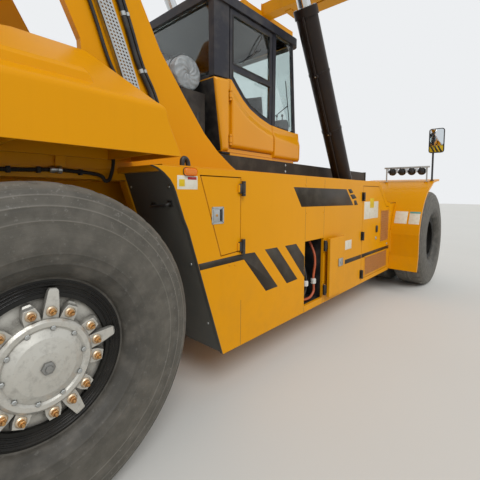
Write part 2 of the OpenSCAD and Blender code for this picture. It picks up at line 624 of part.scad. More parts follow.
// Electric drive motor on the axle's pinion
module drive_motor() placed() color(dark_grey) {
    translate([wheelbase - 1580, 0, 860]) rotate([0, 90, 0]) cylinder(r = 185, h = 800);
    translate([wheelbase - 780, 0, axle_z]) rotate([0, 90, 0]) cylinder(r = 110, h = 80 - seat_gap);
    for (x = [wheelbase - 1480, wheelbase - 980]) {
        box([x, -60, 1030], [x + 60, 60, chassis_low_z + 59]);
        box([x, -beam_y + beam_w / 2, chassis_low_z + 20], [x + 60, beam_y - beam_w / 2, chassis_low_z + 60]);
    }
}

// Work lamps on their bar, a pair of fours, with the marker lamps on the side bodies
module lamp_bars() placed() color(black) for (s = [-1, 1]) on_side(s) {
    box([lamp_x - 12, lamp_bar_y[0], 2042], [lamp_x + 12, lamp_bar_y[1], 2060]);
    for (y = lamp_foot_y) box([lamp_x - 10, y + 10, lamp_foot_z + seat_gap], [lamp_x + 10, y + 30, 2043]);
    for (i = [0:3]) translate([lamp_x - 30, lamp_bar_y[0] + 135 + i * lamp_pitch, 1982]) rotate([0, 90, 0]) {
        cylinder(r1 = 30, r2 = 52, h = 40);
        translate([0, 0, 40]) cylinder(r = 52, h = 30);
        translate([-64, -8, 32]) cube([40, 16, 16]);
    }
    plate_xz(body_half_w + 11, 21) rounded([858, 1691], [968, 1747], 26);
}

// Mirrors on posts at the front corners
module mirrors() placed() color(black) for (s = [-1, 1]) on_side(s) {
    translate([mirror_x, mirror_y, mirror_foot_z + seat_gap]) cylinder(r = 15, h = 700);
    bar_yz(mirror_x - 17, mirror_x + 17) translate([mirror_y + 46, 2488]) rounded([-115, -204], [115, 204], 40);
}

// Perforated cover on the tower's right plate, and the hose beside it that climbs to the boom's pivot
guard_line = [[990, 2060], [800, 2600], [520, 3300]];
guard_w = 115;
guard_deep = 50;
hose_r = 19;
hose_pts = [[1110, 0, 2040], [1010, 0, 2330], [893, 0, 2545], [790, 0, 2830], [640, 0, 3220], [560, 0, 3420]];
module hose_guard() placed() color(steel) {
    face = -tower_half_w - tower_t / 2;
    difference() {
        plate_xz(face - seat_gap - guard_deep / 2, guard_deep)
            polygon(concat(guard_line, [for (i = [2:-1:0]) guard_line[i] - [guard_w, 0]]));
        plate_xz(face - guard_deep / 2 + 4, guard_deep)
            polygon(concat([for (q = guard_line) q - [8, 0]], [for (i = [2:-1:0]) guard_line[i] - [guard_w - 8, 0]]));
    }
    for (k = [0:4]) rod(hose_pts[k] + [0, face - hose_r - 3, 0], hose_pts[k + 1] + [0, face - hose_r - 3, 0], hose_r);
    for (k = [1:4]) translate(hose_pts[k] + [0, face - hose_r - 3, 0]) sphere(r = hose_r + 3);
    for (k = [0, 5]) translate(hose_pts[k] + [0, face - seat_gap, 0]) rotate([90, 0, 0])
        cylinder(r = hose_r + 6, h = 2 * hose_r + 6);
}

// Tank between the tower and the cab, with its switch boxes, and the drum on top of it
tank_x = [1420, 1850];
tank_half_w = 740;
tank_top_z = 2600;
module rear_tank() placed() color(dark_grey) {
    plate_xz(0, 2 * tank_half_w) polygon(concat([[tank_x[0], deck_z - 20 + seat_gap], [tank_x[1], deck_z - 20 + seat_gap],
        [tank_x[1], tank_top_z]], arc([tank_x[0] + 190, tank_top_z - 190], 190, 90, 180, 8)));
    box([tank_x[0] + 30, -tank_half_w - 60, 2330], [tank_x[0] + 120, -tank_half_w + 1, 2505]);
    box([tank_x[0] + 140, -tank_half_w - 50, 2300], [tank_x[0] + 190, -tank_half_w + 1, 2480]);
    box([tank_x[0] - 120, -tank_half_w, 2540], [tank_x[0] - 40, -tank_half_w + 60, 2680]);
    box([tank_x[0] - 60, -tank_half_w + 20, 2380], [tank_x[0] + 1, -tank_half_w + 40, 2640]);
}
drum_r = 165;
drum_edge = 60;
drum_foot = 6;
drum_ends = [-400, 640];
module rear_drum() placed() color(steel)
    translate([1660, 0, tank_top_z + seat_gap + drum_foot + drum_r]) rotate([90, 0, 0]) {
        rotate_extrude($fn = 64) polygon(concat([[0, drum_ends[0] - drum_edge]],
            arc([drum_r - drum_edge, drum_ends[0]], drum_edge, 270, 360, 6),
            arc([drum_r - drum_edge, drum_ends[1]], drum_edge, 0, 90, 6), [[0, drum_ends[1] + drum_edge]]));
        for (y = [-300, 500]) translate([-120, -drum_r - drum_foot, y]) cube([240, 40, 40]);
    }

// Ladder and handrails on the left
ladder_x = [3300, 3700];
module access_ladder() placed() color(dark_grey) {
    for (x = ladder_x) translate([x, body_half_w + 60, 420]) cylinder(r = 17, h = 1340);
    for (z = [450, 760, 1070, 1380]) box([ladder_x[0], body_half_w + 30, z], [ladder_x[1], body_half_w + 150, z + 20]);
    for (x = ladder_x, z = [700, 1650]) rod_y(x, z, 12, body_half_w, body_half_w + 60);
    for (x = ladder_x) rod([x, body_half_w - 60, deck_z], [x, body_half_w - 60, deck_z + 900], 17);
}

// Boom pieces are drawn level, with the boom pivot as origin, and turned up to the rest angle
module boom_place() translate([pivot_x, 0, pivot_z]) rotate([0, -boom_rest, 0]) children();
boom_top_w = boom_low_w + boom_h;
slide_play = 12;
pad_play = 0.3;
// The boom's pin ends this far inside the cylinder's middle plane
lift_pin_in = 137;

module boom_outer() placed() color(body_yellow) boom_place() {
    lift_u = lift_r * cos(lift_pin_angle);
    lift_w = lift_r * sin(lift_pin_angle);
    difference() {
        union() {
            plate_xz(0, boom_w) polygon(concat([[boom_len, boom_top_w], [300, boom_top_w], [60, boom_top_w - 60]],
                arc([0, 0], 230, 165, 290, 12), [[700, boom_low_w], [boom_len, boom_low_w]]));
            // Front collar
            box([boom_len - 150, -boom_w / 2 - 25, boom_low_w - 25], [boom_len, boom_w / 2 + 25, boom_top_w + 25]);
            // Pivot tube and the brackets of the lift cylinders
            rod_y(0, 0, 170, -tower_half_w + 70, tower_half_w - 70);
            for (s = [-1, 1]) {
                rod_y(lift_u, lift_w, 120, s > 0 ? boom_w / 2 - 5 : -lift_half_w + lift_pin_in,
                    s > 0 ? lift_half_w - lift_pin_in : -boom_w / 2 + 5);
                on_side(s) slab(lift_w - 40, lift_w + 40) polygon([[lift_u - 520, boom_w / 2 - 5],
                    [lift_u + 520, boom_w / 2 - 5], [lift_u + 130, 900], [lift_u - 130, 900]]);
                plate_xz(s * (boom_w / 2 + 12), 26) polygon([[lift_u - 620, boom_low_w + 10],
                    [lift_u + 620, boom_low_w + 10], [lift_u + 420, 330], [lift_u - 420, 330]]);
            }
        }
        box([330, -boom_w / 2 + boom_wall, boom_low_w + boom_wall],
            [boom_len + 1, boom_w / 2 - boom_wall, boom_top_w - boom_wall]);
        rod_y(0, 0, pivot_pin_r + pin_play, -tower_half_w, tower_half_w);
    }
    // Wear pads at the mouth
    pad = slide_play - pad_play;
    box([boom_len - 260, -300, boom_low_w + boom_wall - 1], [boom_len - 10, 300, boom_low_w + boom_wall + pad]);
    for (s = [-1, 1]) on_side(s)
        box([boom_len - 260, boom_w / 2 - boom_wall - pad, 100], [boom_len - 10, boom_w / 2 - boom_wall + 1, 600]);
}

inner_rear_u = 420;
inner_front_u = 7750;
nose_half_w = 210;
head_pin_r = 70;
function nose_points() = concat([[inner_front_u - 250, boom_low_w + 37 + 10], [7900, boom_low_w + 30], [8180, -180],
    [8420, -560]], arc([head_u, head_w], 190, 170, 355, 16), [[8900, -640], [8800, -60], [8520, 420], [8120, 700],
    [inner_front_u - 250, 760]]);
module boom_inner() placed() color(body_yellow) boom_place() {
    hw = boom_w / 2 - boom_wall - slide_play;
    w0 = boom_low_w + boom_wall + slide_play;
    w1 = boom_top_w - boom_wall - slide_play;
    difference() {
        union() {
            box([inner_rear_u, -hw, w0], [inner_front_u, hw, w1]);
            plate_xz(0, 2 * nose_half_w) polygon(nose_points());
            rod_y(head_u, head_w, 160, -nose_half_w - 20, nose_half_w + 20);
            rod_y(head_u, head_w, head_pin_r, -360, 360);
        }
        box([inner_rear_u - 1, -hw + boom_wall, w0 + boom_wall], [inner_front_u - 260, hw - boom_wall, w1 - boom_wall]);
        plate_xz(0, 2 * nose_half_w - 60) difference() {
            polygon(inset(nose_points(), 30));
            translate([head_u, head_w]) circle(r = 170);
        }
    }
    pad = slide_play - pad_play;
    box([inner_rear_u + 20, -300, w1 - 1], [inner_rear_u + 270, 300, w1 + pad]);
}

// Lift cylinders: the barrel stands on its foot pin and the rod carries the upper eye
rod_r = 85;
barrel_len = 3100;
rod_len = 3265;
lift_bore_r = lift_barrel_d / 2 - 27;
module lift_place(s) translate([lift_foot_x, s * lift_half_w, lift_foot_z]) rotate([0, -lift_lean, 0]) children();
module lift_barrel(s) placed() color("#2A2523") lift_place(s) difference() {
    union() {
        rod_y(0, 0, 150, -lift_eye_w / 2, lift_eye_w / 2);
        box([-110, -lift_eye_w / 2, 0], [110, lift_eye_w / 2, 175]);
        translate([0, 0, 170]) cylinder(r = lift_barrel_d / 2, h = barrel_len - 170);
        translate([0, 0, barrel_len - 110]) cylinder(r = lift_barrel_d / 2 + 14, h = 110);
        translate([0, 0, 190]) cylinder(r = lift_barrel_d / 2 + 8, h = 40);
        for (z = [700, 1500, 2300]) translate([0, 0, z]) cylinder(r = lift_barrel_d / 2 + 5, h = 30);
    }
    rod_y(0, 0, lift_foot_r + pin_play, -lift_eye_w, lift_eye_w);
    translate([0, 0, 180]) cylinder(r = lift_bore_r, h = barrel_len - 180 - 100);
    translate([0, 0, barrel_len - 101]) cylinder(r = rod_r + pin_play, h = 200);
}
module lift_rod(s) placed() color(steel) lift_place(s) {
    translate([0, 0, lift_length - rod_len]) cylinder(r = rod_r, h = rod_len - 60);
    translate([0, 0, lift_length - rod_len]) cylinder(r = lift_bore_r - pin_play, h = 110);
    rod_y(0, lift_length, 145, -lift_eye_w / 2, lift_eye_w / 2);
    rod_y(0, lift_length, 75, -lift_eye_w / 2 - 30, lift_eye_w / 2 + 30);
    translate([0, 0, lift_length - 190]) cylinder(r1 = rod_r, r2 = 118, h = 90);
}

// Head: everything below hangs level from the head pin, which is its origin
module head_place() translate([head_x, 0, head_z]) children();
yoke_low = 700;
ring_gap = 8;
module yoke() placed() color(body_yellow) head_place() {
    for (s = [-1, 1]) plate_xz(s * 292, 60) difference() {
        polygon(concat([[-300, -620], [300, -620], [230, -400]], arc([0, 0], 175, 10, 170, 16), [[-230, -400]]));
        circle(r = head_pin_r + pin_play);
    }
    box([-300, -330, -621], [300, 330, -470]);
    translate([0, 0, -yoke_low]) cylinder(r = 450, h = 82);
    translate([0, 0, -yoke_low - ring_gap - 60]) cylinder(r = 200, h = 80);
}

// Rotator: slewing ring, its two drives and the frame whose claws hold the spreader's rails
rotator_low = 1100;
rail_low = 1220;
module rotator() placed() color(dark_grey) head_place() {
    difference() {
        translate([0, 0, -860]) cylinder(r = 480, h = 860 - yoke_low - ring_gap);
        translate([0, 0, -yoke_low - ring_gap - 68]) cylinder(r = 200 + pin_play, h = 100);
    }
    box([-430, -620, -rotator_low], [430, 620, -859]);
    for (s = [-1, 1]) translate([0, s * 560, -870]) {
        cylinder(r = 85, h = 300);
        translate([0, 0, 300]) cylinder(r = 60, h = 60);
    }
    for (k = [-1, 1], y = [-600, 420]) {
        mirror([k < 0 ? 1 : 0, 0, 0]) {
            box([463, y, -1200], [495, y + 180, -rotator_low + 50]);
            box([400, y, -rotator_low], [495, y + 180, -rotator_low + 50]);
            box([438, y, -1200], [464, y + 180, -1170 - pad_play]);
            box([380, y, -1140 + pad_play], [430, y + 180, -rotator_low + 1]);
        }
    }
}

// Spreader frame: two tubes side by side, one for each sliding beam, with rails on top
tube_w = 400;
tube_half_l = 2150;
tube_in = tube_w / 2 + 30;
tube_low = rail_low + tube_w;
module spreader_frame() placed() color(body_yellow) head_place() {
    difference() {
        union() {
            box([-tube_in - tube_w / 2, -tube_half_l, -tube_low], [-tube_in + tube_w / 2, tube_half_l, -rail_low]);
            box([tube_in - tube_w / 2, -tube_half_l, -tube_low], [tube_in + tube_w / 2, tube_half_l, -rail_low]);
            for (y = [-tube_half_l, -700, 500, tube_half_l - 200])
                box([-tube_in, y, -tube_low - 18], [tube_in, y + 200, -rail_low]);
        }
        for (k = [-1, 1])
            box([k * tube_in - tube_w / 2 + spreader_wall, -tube_half_l - 1, -tube_low + spreader_wall],
                [k * tube_in + tube_w / 2 - spreader_wall, tube_half_l + 1, -rail_low - spreader_wall]);
    }
    for (k = [0, 1]) mirror([k, 0, 0]) {
        box([400, -1900, -rail_low], [430, 1900, -1160]);
        box([375, -1900, -1170], [455, 1900, -1140]);
    }
}

// Sliding beams: k = 1 reaches to the left and k = -1 to the right
beam_play = 8;
end_low = 1780;
end_high = 1460;
module spreader_beam(k) placed() color(body_yellow) head_place() {
    half = tube_w / 2 - spreader_wall - beam_play;
    cx = k * -tube_in;
    zc = -rail_low - tube_w / 2;
    out_y = lock_spacing_y / 2 + 102.5;
    mirror([0, k < 0 ? 1 : 0, 0]) {
        difference() {
            box([cx - half, -1900, zc - half], [cx + half, out_y - 150, zc + half]);
            box([cx - half + spreader_wall, -1901, zc - half + spreader_wall],
                [cx + half - spreader_wall, out_y - 205, zc + half - spreader_wall]);
        }
        box([cx - half + 30, -1890, zc - half - beam_play + pad_play], [cx + half - 30, -1790, zc - half + 1]);
        box([-spreader_w / 2, out_y - 205, -end_low], [spreader_w / 2, out_y, -end_high]);
        box([cx - half - 40, out_y - 205, -end_high - 1], [cx + half + 40, out_y - 190, zc + half]);
        for (x = [-1, 1]) translate([x * lock_spacing_x / 2, lock_spacing_y / 2, 0]) {
            translate([-88, -100, -end_low - 12]) cube([176, 200, 340]);
            translate([0, 0, -end_low - 60]) cylinder(r = 29, h = 60);
            translate([0, 0, -end_low - 100]) linear_extrude(40) rounded([-50, -28], [50, 28], 26);
        }
    }
}

// Cab body: curved lower shell of the cab with its floor; the right side is open for the door
function cab_curve() = [[3482, 2403], [3330, 2402], [3047, 2413], [2831, 2426], [2631, 2475], [2445, 2544],
    [2322, 2622], [2205, 2725], [2125, 2800], [2048, 2780], [1874, 2763]];
function cab_outline() = concat([[cab_rear_x, cab_floor_z], [cab_front_x - 6, cab_floor_z], [cab_front_x + 8, 2060],
    [cab_front_x + 12, 2250]], cab_curve());
cab_door = [2105, 2872];
cab_wall = 40;
module cab_body() placed() color(body_yellow) {
    difference() {
        plate_xz(0, 2 * cab_half_w) polygon(cab_outline());
        plate_xz(0, 2 * (cab_half_w - cab_wall)) polygon([[cab_rear_x + 52, cab_floor_z + 40],
            [cab_front_x - 44, cab_floor_z + 40], [cab_front_x - 40, 2900], [1910, 2900]]);
        box([cab_door[0], -cab_half_w - 1, cab_floor_z + 41], [cab_door[1], -cab_half_w + cab_wall + 1, 2900]);
    }
    for (s = [-1, 1]) on_side(s) box([2120, cab_rail_y - 45, rail_top_z + pad_play], [3380, cab_rail_y + 45, cab_floor_z + 1]);
    cab_door_pins();
}
cab_hinge_out = 24;
module cab_door_pins() for (z = [2150, 2620]) translate([cab_door[0] - 10, -cab_half_w - cab_hinge_out, z]) {
    cylinder(r = 9, h = 120, center = true);
    for (k = [-1, 1]) translate([0, 0, k * 48]) {
        cylinder(r = 17, h = 20, center = true);
        translate([-6, cab_hinge_out / 2, 0]) cube([20, cab_hinge_out, 20], center = true);
    }
}

// Cab frame: roof, wide rear posts, door posts and slim front posts
screen_low = [3404, 2433];
screen_high = [3313, 3545];
module cab_frame() placed() color(dark_grey) {
    for (s = [-1, 1]) on_side(s) {
        plate_xz(cab_half_w - 40, 80) polygon([[1878, 2782], [2095, 2795], [2095, 3545], [1868, 3545]]);
        plate_xz(cab_half_w - 35, 60) polygon([[2882, 2428], [2942, 2424], [2942, 3545], [2882, 3545]]);
        plate_xz(cab_half_w - 22, 36) polygon([[screen_low.x - 36, 2406], [screen_low.x + 8, 2406],
            [screen_high.x + 6, 3545], [screen_high.x - 36, 3545]]);
    }
    difference() {
        slab(3540, cab_roof_z) rounded([1840, -cab_half_w - 20], [3440, cab_half_w + 20], 90);
        slab(3539, cab_roof_z - 40) rounded([1900, -cab_half_w + 60], [3300, cab_half_w - 60], 60);
    }
    box([1880, -cab_half_w + 80, 2768 + seat_gap], [1925, cab_half_w - 80, 2800]);
    box([screen_low.x - 20, -cab_half_w + 35, 2404], [screen_low.x + 8, cab_half_w - 35, 2432]);
}

// x of the front post's rear edge at a height
function post_edge(z) = screen_low.x - 36 + (z - 2406) * (screen_high.x - screen_low.x) / (3545 - 2406);
module cab_glass() placed() color(glass_tint) {
    top = 3540 - seat_gap;
    plate_xz(0, 2 * (cab_half_w - 40 - seat_gap)) polygon([[screen_low.x - 5, screen_low.y], [screen_low.x + 5, screen_low.y],
        [screen_high.x + 2, top], [screen_high.x - 8, top]]);
    for (s = [-1, 1]) on_side(s) plate_xz(cab_half_w - 20, 8) polygon([[2942 + seat_gap, 2432],
        [post_edge(2424) - seat_gap, 2424], [post_edge(top) - seat_gap, top], [2942 + seat_gap, top]]);
    plate_xz(cab_half_w - 20, 8) polygon([[2095 + seat_gap, 2812], [2130, 2812], [2210, 2738], [2330, 2634],
        [2450, 2560], [2640, 2490], [2882 - seat_gap, 2436], [2882 - seat_gap, top], [2095 + seat_gap, top]]);
    plate_xz(0, 2 * (cab_half_w - 80 - seat_gap)) polygon([[1893, 2800 + seat_gap], [1901, 2800 + seat_gap],
        [1895, top], [1887, top]]);
}

module cab_interior() placed() color(black) {
    box([2060, -740, cab_floor_z + 40 + seat_gap], [3440, 740, cab_floor_z + 50]);
    slab(cab_floor_z + 50, 2330) rounded([2230, -240], [2680, 240], 60);
    slab(2330, 2450) rounded([2170, -260], [2720, 260], 90);
    translate([2170, 0, 2440]) rotate([0, -8, 0]) slab(0, 640) rounded([-60, -245], [70, 245], 60);
    translate([2088, 0, 3055]) rotate([0, -8, 0]) slab(0, 210) rounded([-45, -140], [45, 140], 40);
    for (s = [-1, 1]) on_side(s) {
        box([2150, 250, 2420], [2720, 420, 2560]);
        translate([2670, 360, 2559]) cylinder(r1 = 26, r2 = 14, h = 120);
        translate([2670, 360, 2670]) sphere(r = 34);
    }
    box([3020, -110, cab_floor_z + 50], [3200, 110, 2500]);
    translate([3000, 0, 2560]) rotate([0, -30, 0]) {
        rotate_extrude($fn = 48) translate([190, 0]) circle(r = 14, $fn = 16);
        translate([0, 0, -140]) cylinder(r = 30, h = 150);
        for (a = [0, 120, 240]) rotate([0, 0, a]) translate([0, -12, -8]) cube([190, 24, 16]);
    }
    box([3150, -560, 2330], [3330, 560, 2400]);
    translate([3180, -520, 2380]) rotate([0, -15, 20]) cube([30, 260, 220]);
}

function cab_door_points() = [[cab_door[0] + door_gap, cab_floor_z + 41 + door_gap], [cab_door[1] - door_gap,
    cab_floor_z + 41 + door_gap], [cab_door[1] - door_gap, 2424], [2831, 2426], [2631, 2475], [2445, 2544],
    [2322, 2622], [2205, 2725], [2130, 2795], [cab_door[0] + door_gap, 2790]];
module cab_door_panel() placed() color(body_yellow) {
    plate_xz(-cab_half_w + cab_wall / 2, cab_wall) polygon(cab_door_points());
    for (z = [2150, 2620]) translate([cab_door[0] - 10, -cab_half_w - cab_hinge_out, z]) difference() {
        union() {
            cylinder(r = 17, h = 60, center = true);
            slab(-30, 30) polygon([[0, -6], [60, 4], [60, cab_hinge_out], [24, cab_hinge_out], [24, 16], [0, 14]]);
        }
        cylinder(r = 9 + pin_play, h = 62, center = true);
    }
}
module cab_door_frame() placed() color(dark_grey) plate_xz(-cab_half_w + 20, 34) difference() {
    polygon([[cab_door[0] + door_gap, 2791], [2130, 2796], [2205, 2726], [2322, 2623], [2445, 2545], [2631, 2476],
        [2831, 2427], [cab_door[1] - door_gap, 2425], [cab_door[1] - door_gap, 3530], [cab_door[0] + door_gap, 3530]]);
    polygon([[2152, 2905], [2152, 2830], [2225, 2760], [2340, 2657], [2460, 2580], [2640, 2514], [2815, 2476],
        [2815, 2880]]);
    polygon([[2152, 3480], [2152, 2965], [2815, 2940], [2815, 3480]]);
}
module cab_door_glass() placed() color(glass_tint) plate_xz(-cab_half_w + 20, 8) difference() {
    polygon([[2153, 3479], [2153, 2831], [2226, 2761], [2341, 2658], [2461, 2581], [2641, 2515], [2814, 2477],
        [2814, 3479]]);
    polygon([[2140, 2904], [2820, 2879], [2820, 2941], [2140, 2966]]);
}

chassis();
tower();
counterweight();
front_axle();
rear_axle();
side_body(-1);  // side_body_right
side_body(1);  // side_body_left
arch_walls();
rear_hood(-1);  // rear_hood_right
rear_hood(1);  // rear_hood_left
rear_bonnet();
front_fender(-1);  // front_fender_right
front_fender(1);  // front_fender_left
deck();
cab_rails();
charge_bay();
battery();
drive_motor();
lamp_bars();
mirrors();
hose_guard();
rear_tank();
rear_drum();
access_ladder();
service_doors(-1);  // service_door_right
service_doors(1);  // service_door_left
bay_doors(-1);  // bay_door_right
bay_doors(1);  // bay_door_left
port_door();
knuckle(-1);  // knuckle_right
knuckle(1);  // knuckle_left
rear_tyre(-1);  // rear_tyre_right
rear_tyre(1);  // rear_tyre_left
rear_rim(-1);  // rear_rim_right
rear_rim(1);  // rear_rim_left
rear_hub(-1);  // rear_hub_right
rear_hub(1);  // rear_hub_left
front_tyres(-1);  // front_tyres_right
front_tyres(1);  // front_tyres_left
front_rim(-1);  // front_rim_right
front_rim(1);  // front_rim_left
boom_outer();
boom_inner();
lift_barrel(-1);  // lift_barrel_right
lift_barrel(1);  // lift_barrel_left
lift_rod(-1);  // lift_rod_right
lift_rod(1);  // lift_rod_left
yoke();
rotator();
spreader_frame();
spreader_beam(-1);  // spreader_beam_right
spreader_beam(1);  // spreader_beam_left
cab_body();
cab_frame();
cab_glass();
cab_interior();
cab_door_panel();
cab_door_frame();
cab_door_glass();
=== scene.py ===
"""Dress of the reach stacker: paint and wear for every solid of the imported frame, the fine pieces that the
solids leave out, and a plain studio seen at the photograph's angle. Lengths are metres. The rear axle is the
zero of the numbers below, and every piece is moved forward to the frame's own zero when its mesh is made."""

import math

import bmesh
import bpy
import numpy as np
from bpy.props import FloatProperty, FloatVectorProperty, IntProperty, PointerProperty
from mathutils import Matrix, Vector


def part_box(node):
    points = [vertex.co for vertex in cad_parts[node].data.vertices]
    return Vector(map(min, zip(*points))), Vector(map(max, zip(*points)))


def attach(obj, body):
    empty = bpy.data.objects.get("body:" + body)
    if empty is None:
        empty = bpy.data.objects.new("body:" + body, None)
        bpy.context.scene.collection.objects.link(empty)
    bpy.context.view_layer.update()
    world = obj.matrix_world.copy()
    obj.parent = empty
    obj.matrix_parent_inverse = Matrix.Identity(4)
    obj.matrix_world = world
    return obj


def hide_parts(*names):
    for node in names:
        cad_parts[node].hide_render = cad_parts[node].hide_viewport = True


bl_info = {
    "name": "Reach Stacker Dress",
    "version": (1, 0, 0),
    "blender": (4, 5, 0),
    "location": "3D View > Sidebar > Reach Stacker",
    "description": "Builds paint, tyres, trim, hoses and studio of a reach stacker round its packed frame",
    "category": "Object",
}

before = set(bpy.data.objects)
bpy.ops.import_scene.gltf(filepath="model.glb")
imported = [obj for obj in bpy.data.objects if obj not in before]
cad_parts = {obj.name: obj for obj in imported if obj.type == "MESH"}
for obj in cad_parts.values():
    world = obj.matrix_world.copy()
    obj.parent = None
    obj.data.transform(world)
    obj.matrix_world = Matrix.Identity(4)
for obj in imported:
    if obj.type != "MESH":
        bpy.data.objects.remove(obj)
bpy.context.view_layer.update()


def middle(node):
    """Middle of a frame node's box, as an array."""
    low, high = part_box(node)
    return (np.array(low) + np.array(high)) / 2


REAR = middle("rear_tyre_right")
AXLE_Z = REAR[2]
TYRE_R = np.array(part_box("rear_tyre_right")[1])[2] - AXLE_Z
WHEELBASE = middle("front_tyres_right")[0] - REAR[0]
# middles of the tyres across, half the gap of a front pair's middles, and a rim's flange off the middle
REAR_Y, FRONT_Y, PAIR_Y, FLANGE = 1.540, 1.530, 0.285, 0.150
# the side bodies' outer face, how deep thin sheets reach into what carries them, the mudguard's radius
BODY_Y, SINK, GUARD_R = 1.630, 0.0004, 0.9475
# the boom's pin and its angle at rest, and the drum's axis
PIVOT = np.array([0.150, 0.0, 3.950])
BOOM_TILT = math.radians(36)
DRUM_X, DRUM_Z = 1.660, 2.7713
# the foot of the seat's back, and the three directions of the back, which leans 8 degrees
SEAT_FOOT = np.array([2.170, 0.0, 2.440])
LEAN = np.array([(0.990, 0, 0.139), (0, 1, 0), (-0.139, 0, 0.990)])


# colours and material nodes


def linear(code):
    """Linear colour of an sRGB hex value: c / 12.92 below 0.04045, and ((c + 0.055) / 1.055) to the power 2.4
    above."""
    c = np.array([int(code[i : i + 2], 16) for i in (1, 3, 5)]) / 255
    return np.where(c <= 0.04045, c / 12.92, ((c + 0.055) / 1.055) ** 2.4)


def rgba(colour):
    """Four numbers for a colour socket, from three or from a hex value."""
    return (*(linear(colour) if isinstance(colour, str) else colour), 1.0)


def add(tree, kind, *values, out=None, stops=(), **named):
    """Adds one node and returns its first output in use, or the one called out. values go to its sockets in
    their order. A name with a capital is a socket's, with _ for a space, and a small one is a property of the
    node. stops are the places and colours of a ramp."""
    node = tree.nodes.new("ShaderNode" + kind)
    for name, value in named.items():
        if name.islower():
            setattr(node, name, value)
    for _ in stops[2:]:
        node.color_ramp.elements.new(0.5)
    for (place, colour), mark in zip(stops, node.color_ramp.elements if stops else ()):
        mark.position, mark.color = place, rgba(colour)
    pairs = [*zip([s for s in node.inputs if s.enabled], values)]
    pairs += [(node.inputs[n.replace("_", " ")], value) for n, value in named.items() if not n.islower()]
    for socket, value in pairs:
        if isinstance(value, bpy.types.NodeSocket):
            tree.links.new(value, socket)
        else:
            socket.default_value = rgba(value) if socket.type == "RGBA" else value
    return node.outputs[out] if out else next((s for s in node.outputs if s.enabled), None)


def clouds(tree, place, scale, detail, low, high, most=1.0, grit=0.5):
    """Clouds about 1 / scale metres across: noise that counts from low on and reaches most at high."""
    return add(tree, "MapRange", add(tree, "TexNoise", place, scale, detail, grit), low, high, 0.0, most)


# finishes: each function adds its nodes and returns what goes into the surface's sockets


def sprayed_enamel(tree, place, colour, rough=0.36, dust=0.55, worn_and_lit_edges=0.5, coat=0.05):
    """Two-pack acrylic enamel sprayed on welded sheet: soft gloss with orange peel, sheet that isn't quite
    flat, rain streaks, road dust that thickens towards the ground, and edges lightened in broken patches,
    partly rubbed paler by handling and partly a painted highlight along the edges."""
    # patches 1.1 m across: the sprayer's passes and the sun's fading
    patches = add(tree, "TexNoise", place, 0.9, 2.0)
    base = add(tree, "Mix", patches, 0.90 * colour, np.minimum(1, 1.10 * colour), data_type="RGBA")
    # streaks 60 mm wide and 1.5 m long, left by rain
    drawn = add(tree, "Mapping", place, Scale=(16.0, 16.0, 0.7))
    streaks = clouds(tree, drawn, 1.0, 3.0, 0.52, 0.78, 0.22 * dust)
    base = add(tree, "Mix", streaks, base, colour * (0.55, 0.52, 0.7), data_type="RGBA")
    # dust of the yard: more below 1 m, in clouds 150 mm across with grit of 12 mm in them
    low = add(tree, "MapRange", add(tree, "SeparateXYZ", place, out="Z"), 1.3, 0.3, 0.12, 1.0)
    film = clouds(tree, place, 6.5, 8.0, 0.42, 0.8, dust, 0.68)
    film = add(tree, "Math", low, film, operation="MULTIPLY")
    base = add(tree, "Mix", film, base, "#8C7040", data_type="RGBA")
    # edges, 5 mm wide, where the rounded normal turns away from the face's own: lightened in broken patches,
    # partly wear and partly a painted highlight
    rounded = add(tree, "Bevel", 0.005, samples=4)
    along = add(tree, "VectorMath", rounded, add(tree, "NewGeometry", out="Normal"), operation="DOT_PRODUCT")
    edge = add(tree, "MapRange", along, 0.995, 0.86, 0.0, worn_and_lit_edges)
    edge = add(tree, "Math", edge, clouds(tree, place, 14.0, 6.0, 0.40, 0.62), operation="MULTIPLY")
    base = add(tree, "Mix", edge, base, 0.75 * colour + 0.16, data_type="RGBA")
    gloss = add(tree, "MapRange", film, 0.0, 1.0, rough, min(1.0, rough + 0.45))
    # orange peel: really 2 mm, drawn at 9 mm so that it shows; sheet waviness 0.6 m
    wave = add(tree, "TexNoise", place, 1.7, 1.0)
    peel = add(tree, "TexNoise", place, 110.0, 1.0)
    relief = add(tree, "Bump", Height=wave, Strength=0.5, Distance=0.012, Normal=rounded)
    relief = add(tree, "Bump", Height=peel, Strength=0.18, Distance=0.0006, Normal=relief)
    return dict(Base_Color=base, Roughness=gloss, Normal=relief, Coat_Weight=coat, Coat_Roughness=0.16,
                IOR=1.5, Specular_IOR_Level=0.12)


def primed_sheet(tree, place, colour, rough=0.55, dusty=0.30):
    """Satin charcoal chassis paint on sheet steel: even and dull, with dust and faint scuffs."""
    cloud = add(tree, "TexNoise", place, 5.0, 7.0, 0.6)
    dust = add(tree, "MapRange", cloud, 0.45, 0.85, 0.0, dusty)
    base = add(tree, "Mix", dust, colour, "#7D7669", data_type="RGBA")
    # scuffs 3 mm wide and 200 mm long
    drawn = add(tree, "Mapping", place, Rotation=(0.4, 0.7, 0.2), Scale=(5.0, 5.0, 300.0))
    scuffs = clouds(tree, drawn, 1.0, 2.0, 0.70, 0.80, 0.35)
    base = add(tree, "Mix", scuffs, base, "#6E6B65", data_type="RGBA")
    gloss = add(tree, "MapRange", cloud, 0.0, 1.0, rough - 0.08, rough + 0.2)
    rounded = add(tree, "Bevel", 0.004, samples=4)
    grain = add(tree, "TexNoise", place, 160.0, 2.0)
    relief = add(tree, "Bump", Height=grain, Strength=0.2, Distance=0.0008, Normal=rounded)
    return dict(Base_Color=base, Roughness=gloss, Normal=relief, IOR=1.5, Specular_IOR_Level=0.3)


